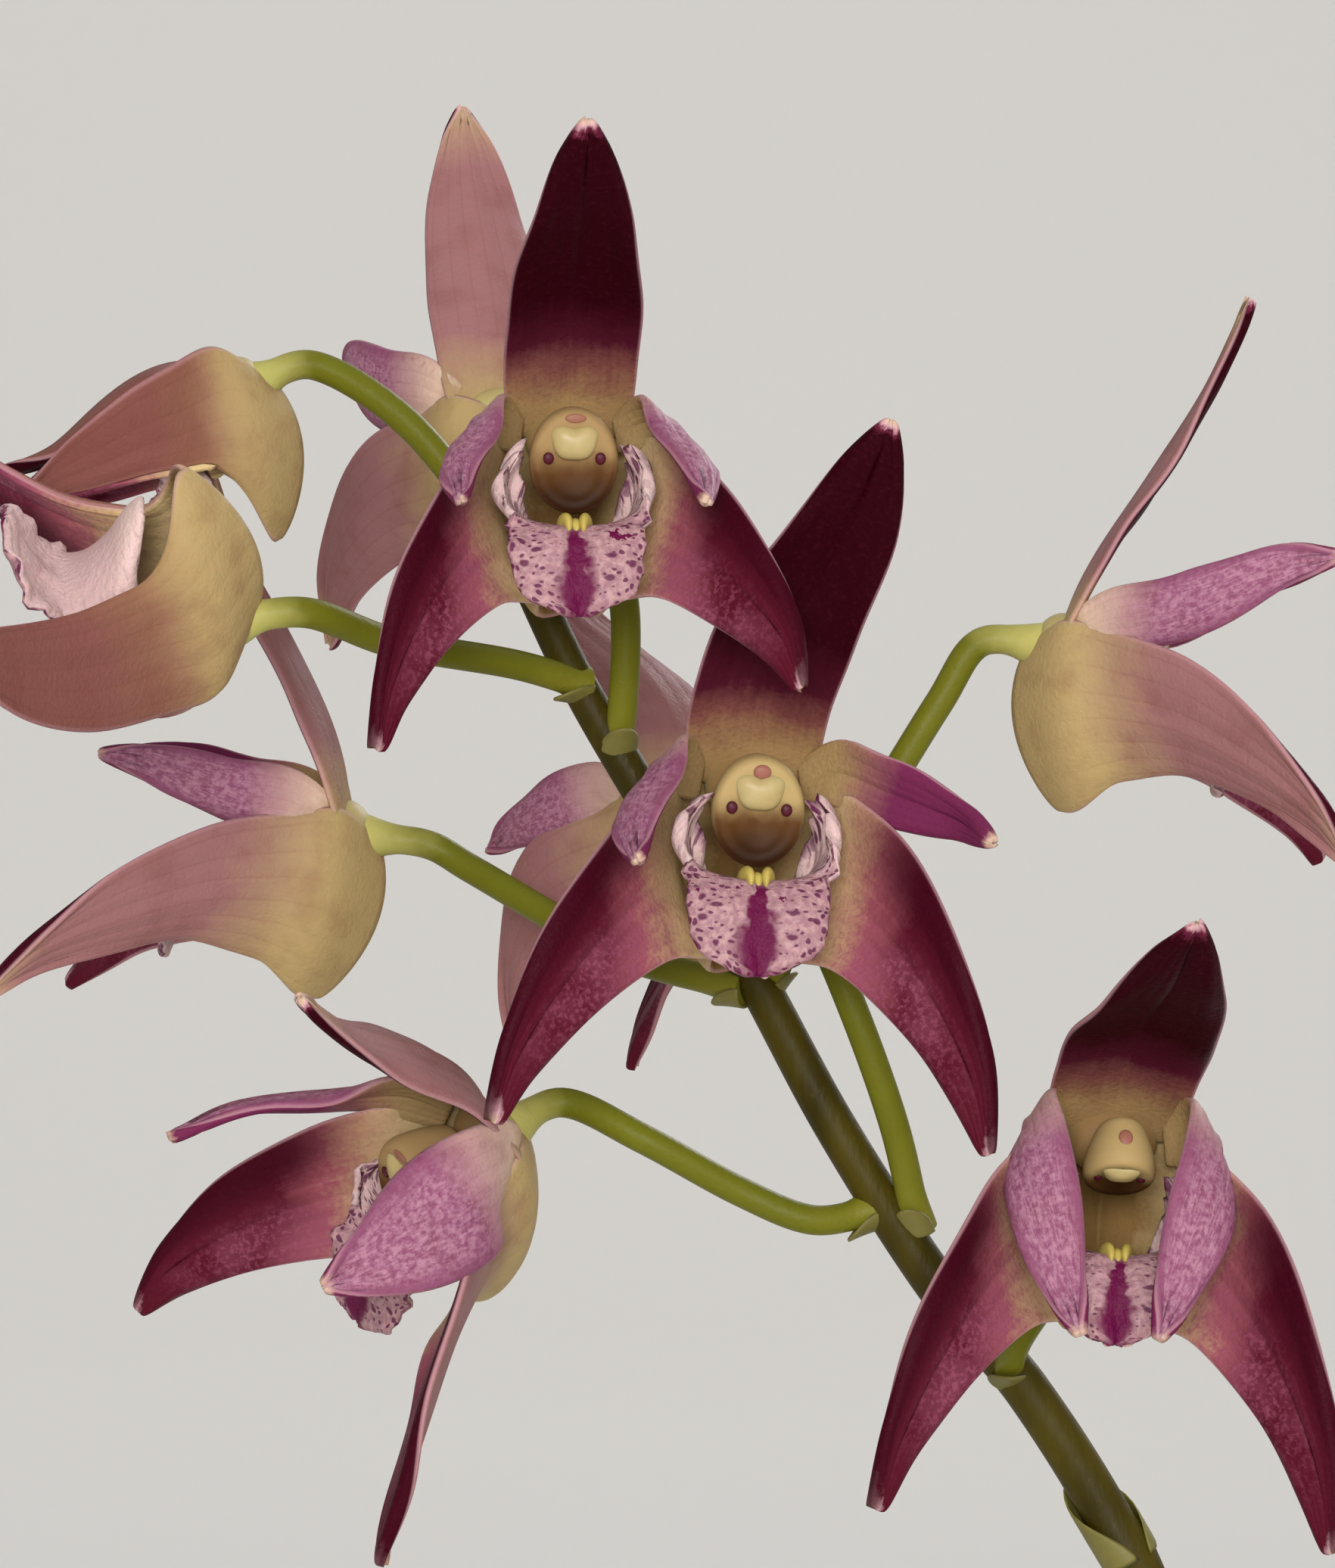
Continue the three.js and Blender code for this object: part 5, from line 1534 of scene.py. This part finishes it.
def joined(name, parts):
    """One object of several, with their finishes kept."""
    objects = []
    for number, part in enumerate(parts):
        if isinstance(part, bpy.types.Mesh):
            part = bpy.data.objects.new(f"{name}_part_{number}", part)
            bpy.context.scene.collection.objects.link(part)
        objects.append(part)
    bpy.ops.object.select_all(action="DESELECT")
    for part in objects:
        part.select_set(True)
    bpy.context.view_layer.objects.active = objects[0]
    bpy.ops.object.join()
    whole = objects[0]
    whole.name = name
    whole.data.name = name
    return whole


# Pot and bark

def pot_profile(s):
    """The pot's outline from the foot's middle, up the outside, over the rim and down the inside."""
    low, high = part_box("pot")
    outer, height = high[0] / MM, (high[2] - low[2]) / MM
    band, proud = s.band_height / MM, s.band_proud / MM
    wall, floor = s.wall / MM, s.floor / MM
    rim, brow, fillet, rough = outer - proud, height - band, 1.6, 0.12
    slope = (rim - POT_FOOT) / (height - floor)

    def outside(z):
        return POT_FOOT + slope * max(z - floor, 0) + 0.2

    foot = [(NO_RADIUS, 0), (POT_FOOT - 3, 0), (POT_FOOT - 1, 0.3), (POT_FOOT, 1.6),
            (outside(floor), floor)]
    side = [(outside(z) + rough * math.sin(z * 0.9), z) for z in range(12, int(brow) - 3, 4)]
    under_band = [(outside(brow - 2.5), brow - 2.5), (outside(brow) + 0.4, brow - 0.6),
                  (outside(brow) + proud - fillet, brow)]
    face = [(outer - 0.9, brow + 1.2), (outer - 0.4, brow + 4), (outer - 0.2, height - 6),
            (outer - 0.1, height - 3)]
    lip = [(outer - 0.8, height - 0.9), (outer - 2.6, height - 0.05), (rim - wall + 2.2, height - 0.05),
           (rim - wall + 0.6, height - 1.2), (rim - wall - 0.2, height - 4)]
    hollow = [(outside(z) - wall, z) for z in (80, 50, 20)]
    bottom = [(outside(floor) - wall - 1, floor + 1.2), (outside(floor) - wall - 4, floor),
              (NO_RADIUS, floor)]
    return foot + side + under_band + face + lip + hollow + bottom


def turned_form(rows, sides):
    """A form of revolution from its outline, as pairs of radius and height."""
    rows = np.array(rows, dtype=float)
    centres = np.stack([np.zeros(len(rows)), np.zeros(len(rows)), rows[:, 1]], axis=1)
    wides = np.outer(rows[:, 0], [1, 0, 0])
    deeps = np.outer(rows[:, 0], [0, 1, 0])
    return rings(centres, wides, deeps, sides)


def clay_finish(s):
    """Turned, unglazed clay with damp patches and a pale mineral crust."""
    f = Finish("fired_clay", Roughness=0.88, Specular_IOR_Level=0.25)
    cloud = f.patches(22, 5, 0.6)
    fine = f.patches(700, 4, 0.7)
    colour = f.mix(f.step(cloud, 0.38, 0.66), s.clay, s.clay_dark)
    turning = f.patches(420, 2, stretch=(0.05, 0.05, 1))
    colour = f.over(colour, linear(196, 124, 86), turning, 0.5, 0.7, 0.18)
    crust = f.times(f.step(f.patches(48, 6, 0.68), 0.56, 0.74), 0.4)
    colour = f.mix(crust, colour, s.salt)
    colour = f.over(colour, linear(110, 60, 40), fine, 0.6, 0.78, 0.35)
    f.bump(f.plus(f.times(fine, 0.6), turning, 0.7), 0.0006, 0.55)
    return f.done(colour, f.plus(0.78, fine, 0.15))


def bark_finish(s):
    """Layered bark, darker in its hollows."""
    f = Finish("bark_layers", Roughness=0.9, Specular_IOR_Level=0.2)
    layers = f.patches(260, 5, 0.65, stretch=(1, 0.5, 1.6))
    cloud = f.patches(70, 3)
    fine = f.patches(1500, 4, 0.7)
    colour = f.mix(f.step(layers, 0.36, 0.66), s.dark, s.light)
    colour = f.over(colour, linear(96, 60, 40), cloud, 0.5, 0.7, 0.5)
    colour = f.over(colour, linear(40, 26, 18), fine, 0.55, 0.75, 0.5)
    f.bump(f.plus(f.times(fine, 0.4), layers, 0.8), 0.0012, 0.8)
    return f.done(colour)


def chip_form(long, seed):
    """A split chip of bark: a bent slab with chipped corners, thinner at its ends."""
    draw = np.random.default_rng(seed)
    jitter = draw.uniform(-1, 1, (5, 7))
    ends = draw.uniform(0.55, 1, 2)
    wide, thick, bow, rough, skew = 0.28 * long, 0.2 * long, 0.05 * long, 0.025 * long, 0.05 * long

    def surface(u, t):
        side = (t - 0.5) * long
        row = np.clip((t * 4).round().astype(int), 0, 4)
        width = wide * (0.75 + 0.25 * jitter[row, 0])
        width = width * np.where(t < 0.1, ends[0], np.where(t > 0.9, ends[1], 1))
        lift = bow * np.sin(np.pi * t) + rough * jitter[row, 2] * u
        return np.stack([side + skew * jitter[row, 1] * u, width * u, lift], axis=-1)

    form = blade(surface, CHIP_STEPS, thick, True)
    wobble = draw.uniform(-1, 1, form.points.shape) * 0.018 * long
    form.points = form.points + wobble
    return form


# Operators

class ORCHID_OT_stage(bpy.types.Operator):
    """Makes the plain pale floor, the soft lights and the camera"""

    bl_idname = "orchid.stage"
    bl_label = "Stage, lights and camera"

    def execute(self, context):
        s = context.scene.orchid_stage
        floor = Finish("studio_floor", Roughness=0.95, Specular_IOR_Level=0.1)
        tint = floor.patches(3, 2)
        material = floor.done(floor.mix(floor.times(tint, 0.04), s.floor_color, linear(214, 212, 208)))
        radius, flat_rings, middle = s.floor_radius, 6, 0.001
        rows = [(middle, 0)] + [(r, 0) for r in np.linspace(radius / flat_rings, radius, flat_rings)]
        for angle in np.linspace(0.1, np.pi / 2, 16):
            rows.append((radius + COVE_RADIUS * math.sin(angle), COVE_RADIUS * (1 - math.cos(angle))))
        rows.append((radius + COVE_RADIUS, WALL_HEIGHT))
        sides = FLOOR_SIDES
        ring = np.arange(sides) / sides * 2 * np.pi
        points = [(r * math.cos(a), r * math.sin(a), z) for r, z in rows for a in ring]
        faces = []
        for row in range(len(rows) - 1):
            for step in range(sides):
                following = (step + 1) % sides
                faces.append((row * sides + step, row * sides + following,
                              (row + 1) * sides + following, (row + 1) * sides + step))
        faces.append(tuple(range(sides)))
        mesh = bpy.data.meshes.new("studio_floor")
        mesh.from_pydata(points, [], faces)
        mesh.materials.append(material)
        mesh.shade_smooth()
        stage = bpy.data.objects.new("studio_floor", mesh)
        context.scene.collection.objects.link(stage)
        for name, (kind, place, size) in LIGHTS.items():
            aim = BACKDROP_AIM if name == "backdrop" else RACEME_CENTRE * MM
            self.lamp(f"{name}_light", kind, place, aim, size, getattr(s, name))
        world = context.scene.world or bpy.data.worlds.new("studio")
        context.scene.world = world
        world.use_nodes = True
        background = world.node_tree.nodes["Background"]
        background.inputs["Color"].default_value = (*s.sky, 1)
        background.inputs["Strength"].default_value = SKY_STRENGTH
        context.scene.view_settings.view_transform = "Standard"
        self.camera(context)
        return {"FINISHED"}

    def lamp(self, name, kind, place, aim, size, power):
        """A round lamp at a place, turned towards its aim."""
        data = bpy.data.lights.new(name, kind)
        data.energy = power
        if kind == "AREA":
            data.shape = "DISK"
            data.size = size
        else:
            data.shadow_soft_size = size / 2
            data.spot_size = math.radians(SPOT_ANGLE)
            data.spot_blend = SPOT_BLEND
        lamp = bpy.data.objects.new(name, data)
        lamp.location = place
        target = aim - np.array(place)
        lamp.rotation_euler = (math.atan2(math.hypot(target[0], target[1]), -target[2]), 0,
                               math.atan2(target[1], target[0]) - math.pi / 2)
        bpy.context.scene.collection.objects.link(lamp)

    def camera(self, context):
        """The camera, level with the raceme, that shows the picture's width and height of it."""
        data = bpy.data.cameras.new("camera")
        data.sensor_fit = "AUTO"
        data.sensor_width = SENSOR_WIDTH
        tall = PICTURE_SIZE[1] / PIXELS_PER_MM
        data.lens = data.sensor_width * VIEW_DISTANCE / tall
        data.clip_start, data.clip_end = CLIP
        camera = bpy.data.objects.new("camera", data)
        centre = RACEME_CENTRE * MM
        camera.location = (centre[0], centre[1] - VIEW_DISTANCE * MM, centre[2])
        camera.rotation_euler = (math.pi / 2, 0, 0)
        context.scene.collection.objects.link(camera)
        context.scene.camera = camera


class ORCHID_OT_pot(bpy.types.Operator):
    """Makes the clay pot with its band and drain holes"""

    bl_idname = "orchid.pot"
    bl_label = "Pot"

    def execute(self, context):
        s = context.scene.orchid_pot
        rows = pot_profile(s)
        piece = make_object("clay_pot", [turned_form(rows, s.sides)], [clay_finish(s)])
        for number in range(DRAIN_COUNT):
            angle = number / DRAIN_COUNT * 2 * math.pi
            x, y = DRAIN_REACH * math.cos(angle), DRAIN_REACH * math.sin(angle)
            hole = tube([(x, y, z) for z in DRAIN_SPAN], DRAIN_RADIUS, DRAIN_SIDES, DRAIN_ASIDE)
            cutter = make_object("drain_cutter", [hole], [])
            cut = piece.modifiers.new("drain", "BOOLEAN")
            cut.operation = "DIFFERENCE"
            cut.solver = "EXACT"
            cut.object = cutter
            graph = context.evaluated_depsgraph_get()
            mesh = bpy.data.meshes.new_from_object(piece.evaluated_get(graph), depsgraph=graph)
            piece.modifiers.clear()
            piece.data = mesh
            bpy.data.objects.remove(cutter)
        hand_over(piece, "pot")
        return {"FINISHED"}


class ORCHID_OT_bark(bpy.types.Operator):
    """Makes the potting bark: a dark bed with chips scattered over it"""

    bl_idname = "orchid.bark"
    bl_label = "Potting bark"

    def execute(self, context):
        s = context.scene.orchid_bark
        material = bark_finish(s)
        low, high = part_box("potting_bark")
        radius = (high[0] - low[0]) / 2 / MM
        base = low[2] / MM
        rows = [(NO_RADIUS, base), (radius * 0.7, base), (radius * 0.93, BARK_SURFACE - 7),
                (radius * 0.9, BARK_SURFACE - 4), (radius * 0.55, BARK_SURFACE - 2.5),
                (NO_RADIUS, BARK_SURFACE - 2)]
        bed = make_object("bark_bed", [turned_form(rows, BED_SIDES)], [material])
        chips = bpy.data.collections.new("chips")
        context.scene.collection.children.link(chips)
        for number in range(CHIP_KINDS):
            chip = make_object(f"chip_{number}", [chip_form(s.chip / MM, s.seed + number)], [])
            context.scene.collection.objects.unlink(chip)
            chip.data.shade_flat()
            chips.objects.link(chip)
        room = 0.32
        reach = radius - s.chip / MM * room
        rows = [(NO_RADIUS, BARK_SURFACE - 1.5), (reach, BARK_SURFACE - 2.5),
                (reach, BARK_SURFACE - 2.6), (NO_RADIUS, BARK_SURFACE - 2.0)]
        ground = make_object("chip_ground", [turned_form(rows, BED_SIDES)], [])
        mesh = chip_tree().run(ground, Density=s.density, Spacing=s.spacing, Seed=s.seed, Chips=chips,
                               Material=material)
        for extra in [ground, *chips.objects]:
            bpy.data.objects.remove(extra)
        bpy.data.collections.remove(chips)
        piece = joined("bark_chips", [bed, mesh])
        hand_over(piece, "potting_bark")
        return {"FINISHED"}


class ORCHID_OT_canes(bpy.types.Operator):
    """Makes the ribbed canes with their rings and dry sheaths"""

    bl_idname = "orchid.canes"
    bl_label = "Canes"

    def execute(self, context):
        s = context.scene.orchid_cane
        cane_skin, paper, scar = cane_finishes(s)
        tree = ring_tree()
        for number, cane in enumerate(CANES, 1):
            body = make_object(f"cane_{number}_body", cane_forms(cane, s, number), [cane_skin, paper])
            joints = cane_height(cane) / (s.internode / MM)
            rings_shown = math.floor(joints * RINGED_SHARE)
            steps = np.linspace(1, rings_shown, rings_shown) / joints
            places, radii = cane_place(cane, steps), cane_radius(cane, steps) * JOINT_WAIST
            source = curve_object("ring_path", [places], [radii])
            mesh = tree.run(source, Count=len(steps), Thickness=RING_THICKNESS, Material=scar)
            bpy.data.objects.remove(source)
            piece = joined(f"cane_{number}_look", [body, mesh])
            hand_over(piece, f"cane_{number}")
        return {"FINISHED"}


class ORCHID_OT_leaves(bpy.types.Operator):
    """Makes the leathery leaves with their clasping bases"""

    bl_idname = "orchid.leaves"
    bl_label = "Leaves"

    def execute(self, context):
        s = context.scene.orchid_leaf
        finishes = leaf_finishes(s)
        for number, leaf in enumerate(LEAVES, 1):
            age = (number * 7 % 5) / 5
            forms = leaf_forms(leaf, s, float(number))
            piece = make_object(f"leaf_{number}_look", forms, finishes, age)
            hand_over(piece, f"leaf_{number}")
        return {"FINISHED"}


class ORCHID_OT_stem(bpy.types.Operator):
    """Makes the flower stem with the blooms' pedicels and their bracts"""

    bl_idname = "orchid.stem"
    bl_label = "Flower stem"

    def execute(self, context):
        s = context.scene.orchid_stem
        stem, pedicel, bract = stem_finishes(s)
        tree = skin_tree()
        taper, swell_height, swell_length = 0.45, 0.22, 0.007
        foot_flare, joint_flare = 0.35, 0.75
        share = np.linspace(0, 1, STEM_STEPS)
        swell = sum(dip(share - place, swell_length) for place in STEM_RINGS)
        radius = s.rachis / MM * (1.15 - taper * share) + swell_height * swell
        main = curve_object("stem_path", [along(stem_rows(), share)], [radius * rounded_end(share)])
        meshes = [tree.run(main, Sides=s.sides, Material=stem)]
        lines = [pedicel_line(bloom, PEDICEL_STEPS) for bloom in BLOOMS]
        place = np.linspace(0, 1, PEDICEL_STEPS)
        flare = 1 + foot_flare * smooth(0.1, 0, place) + joint_flare * smooth(0.86, 1, place)
        size = s.pedicel / MM * flare
        stalks = curve_object("pedicel_paths", lines, [size] * len(lines))
        meshes.append(tree.run(stalks, Sides=s.sides, Material=pedicel))
        for source in (main, stalks):
            bpy.data.objects.remove(source)
        forms = [self.bract(line) for line in lines]
        forms += [self.sheath(place) for place in STEM_RINGS]
        scales = make_object("bracts", forms, [bract])
        piece = joined("flower_stem_look", [scales, *meshes])
        hand_over(piece, "flower_stem")
        return {"FINISHED"}

    def bract(self, line):
        """A small pointed scale that holds the underside of a pedicel's foot."""
        root, ahead = line[0], unit(line[6] - line[0])
        side = unit(np.cross(ahead, [0, 0.3, 1]))
        down = unit(np.cross(side, ahead))
        down = down if down[2] < 0 else -down
        half_turn, radius, flare, back, long = 1.35, 1.18, 0.22, 0.2, 2.1

        def surface(u, t):
            angle = u * half_turn * np.clip(1 - t ** 1.5, 0.002, 1) ** 0.6
            reach = radius + flare * t * t
            return (root + ahead * (-back + long * t)[..., None]
                    + side * (reach * np.sin(angle))[..., None]
                    + down * (reach * np.cos(angle))[..., None])

        return blade(surface, BRACT_STEPS, BRACT_THICKNESS, True)

    def sheath(self, place):
        """A thin scale wrapped round the flower stem at one of its lower rings."""
        foot, head = along(stem_rows(), np.array([place - 0.004, place + 0.03]))
        ahead = unit(head - foot)
        side = unit(np.cross(ahead, [0, 1, 0.1]))
        out = np.cross(side, ahead)
        half_turn, narrowing, radius, flare = 2.9, 0.9, 1.72, 0.1

        def surface(u, t):
            angle = u * half_turn * (1 - narrowing * t ** 1.5) + place * 40
            reach = radius + flare * t
            return (foot + (head - foot) * t[..., None] + side * (reach * np.cos(angle))[..., None]
                    + out * (reach * np.sin(angle))[..., None])

        return blade(surface, SCALE_STEPS, SCALE_THICKNESS, False)


class ORCHID_OT_perianths(bpy.types.Operator):
    """Makes each bloom's sepals and petals"""

    bl_idname = "orchid.perianths"
    bl_label = "Sepals and petals"

    def execute(self, context):
        s = context.scene.orchid_bloom
        finishes = bloom_finishes(s)
        for bloom in BLOOMS:
            forms = at_bloom(bloom, perianth_forms(bloom, s.blade / MM))
            name, tone = f"bloom_{bloom['name']}", bloom.get("brown", 0.0)
            piece = make_object(f"{name}_tepals", forms, finishes, tone)
            hand_over(piece, f"{name}_perianth")
        return {"FINISHED"}


class ORCHID_OT_lips(bpy.types.Operator):
    """Makes each bloom's spotted lip with its callus"""

    bl_idname = "orchid.lips"
    bl_label = "Lips"

    def execute(self, context):
        finishes = lip_finishes(context.scene.orchid_lip)
        ruffle = context.scene.orchid_bloom.ruffle / MM
        for bloom in BLOOMS:
            scale = bloom.get("lip", 1)
            relief = lip_relief(ruffle, float(ord(bloom["name"])))
            sheet = blade(lip_surface(scale), LIP_STEPS, LIP_THICKNESS, True, relief)
            forms = at_bloom(bloom, [sheet, *callus_forms(scale)])
            piece = make_object(f"bloom_{bloom['name']}_labellum", forms, finishes)
            hand_over(piece, f"bloom_{bloom['name']}_lip")
        return {"FINISHED"}


class ORCHID_OT_columns(bpy.types.Operator):
    """Makes each bloom's column with its cap"""

    bl_idname = "orchid.columns"
    bl_label = "Columns"

    def execute(self, context):
        finishes = column_finishes(context.scene.orchid_lip)
        for bloom in BLOOMS:
            forms = at_bloom(bloom, column_forms(bloom))
            name, tone = f"bloom_{bloom['name']}", bloom.get("fair", 0.2)
            piece = make_object(f"{name}_column_look", forms, finishes, tone)
            hand_over(piece, f"{name}_column")
        return {"FINISHED"}


class ORCHID_PT_panel(bpy.types.Panel):
    """Lists the steps that dress the plant"""

    bl_idname = "ORCHID_PT_panel"
    bl_label = "Orchid"
    bl_space_type = "VIEW_3D"
    bl_region_type = "UI"
    bl_category = "Orchid"

    def draw(self, context):
        for step in STEPS:
            self.layout.operator(step.bl_idname)


GROUPS = {
    "orchid_stage": ORCHID_PG_stage, "orchid_pot": ORCHID_PG_pot, "orchid_bark": ORCHID_PG_bark,
    "orchid_cane": ORCHID_PG_cane, "orchid_leaf": ORCHID_PG_leaf, "orchid_stem": ORCHID_PG_stem,
    "orchid_bloom": ORCHID_PG_bloom, "orchid_lip": ORCHID_PG_lip,
}
STEPS = [ORCHID_OT_stage, ORCHID_OT_pot, ORCHID_OT_bark, ORCHID_OT_canes, ORCHID_OT_leaves,
         ORCHID_OT_stem, ORCHID_OT_perianths, ORCHID_OT_lips, ORCHID_OT_columns]


def register():
    """Adds the settings to the scene and the operators and the panel to Blender."""
    for group in GROUPS.values():
        bpy.utils.register_class(group)
    for name, group in GROUPS.items():
        setattr(bpy.types.Scene, name, bpy.props.PointerProperty(type=group))
    for step in STEPS:
        bpy.utils.register_class(step)
    bpy.utils.register_class(ORCHID_PT_panel)


def unregister():
    """Takes away what register added, in reverse."""
    bpy.utils.unregister_class(ORCHID_PT_panel)
    for step in reversed(STEPS):
        bpy.utils.unregister_class(step)
    for name in GROUPS:
        delattr(bpy.types.Scene, name)
    for group in reversed(GROUPS.values()):
        bpy.utils.unregister_class(group)


def main():
    """Makes everything in order."""
    register()
    for step in STEPS:
        family, name = step.bl_idname.split(".")
        getattr(getattr(bpy.ops, family), name)()
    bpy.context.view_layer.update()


if __name__ == "__main__":
    main()
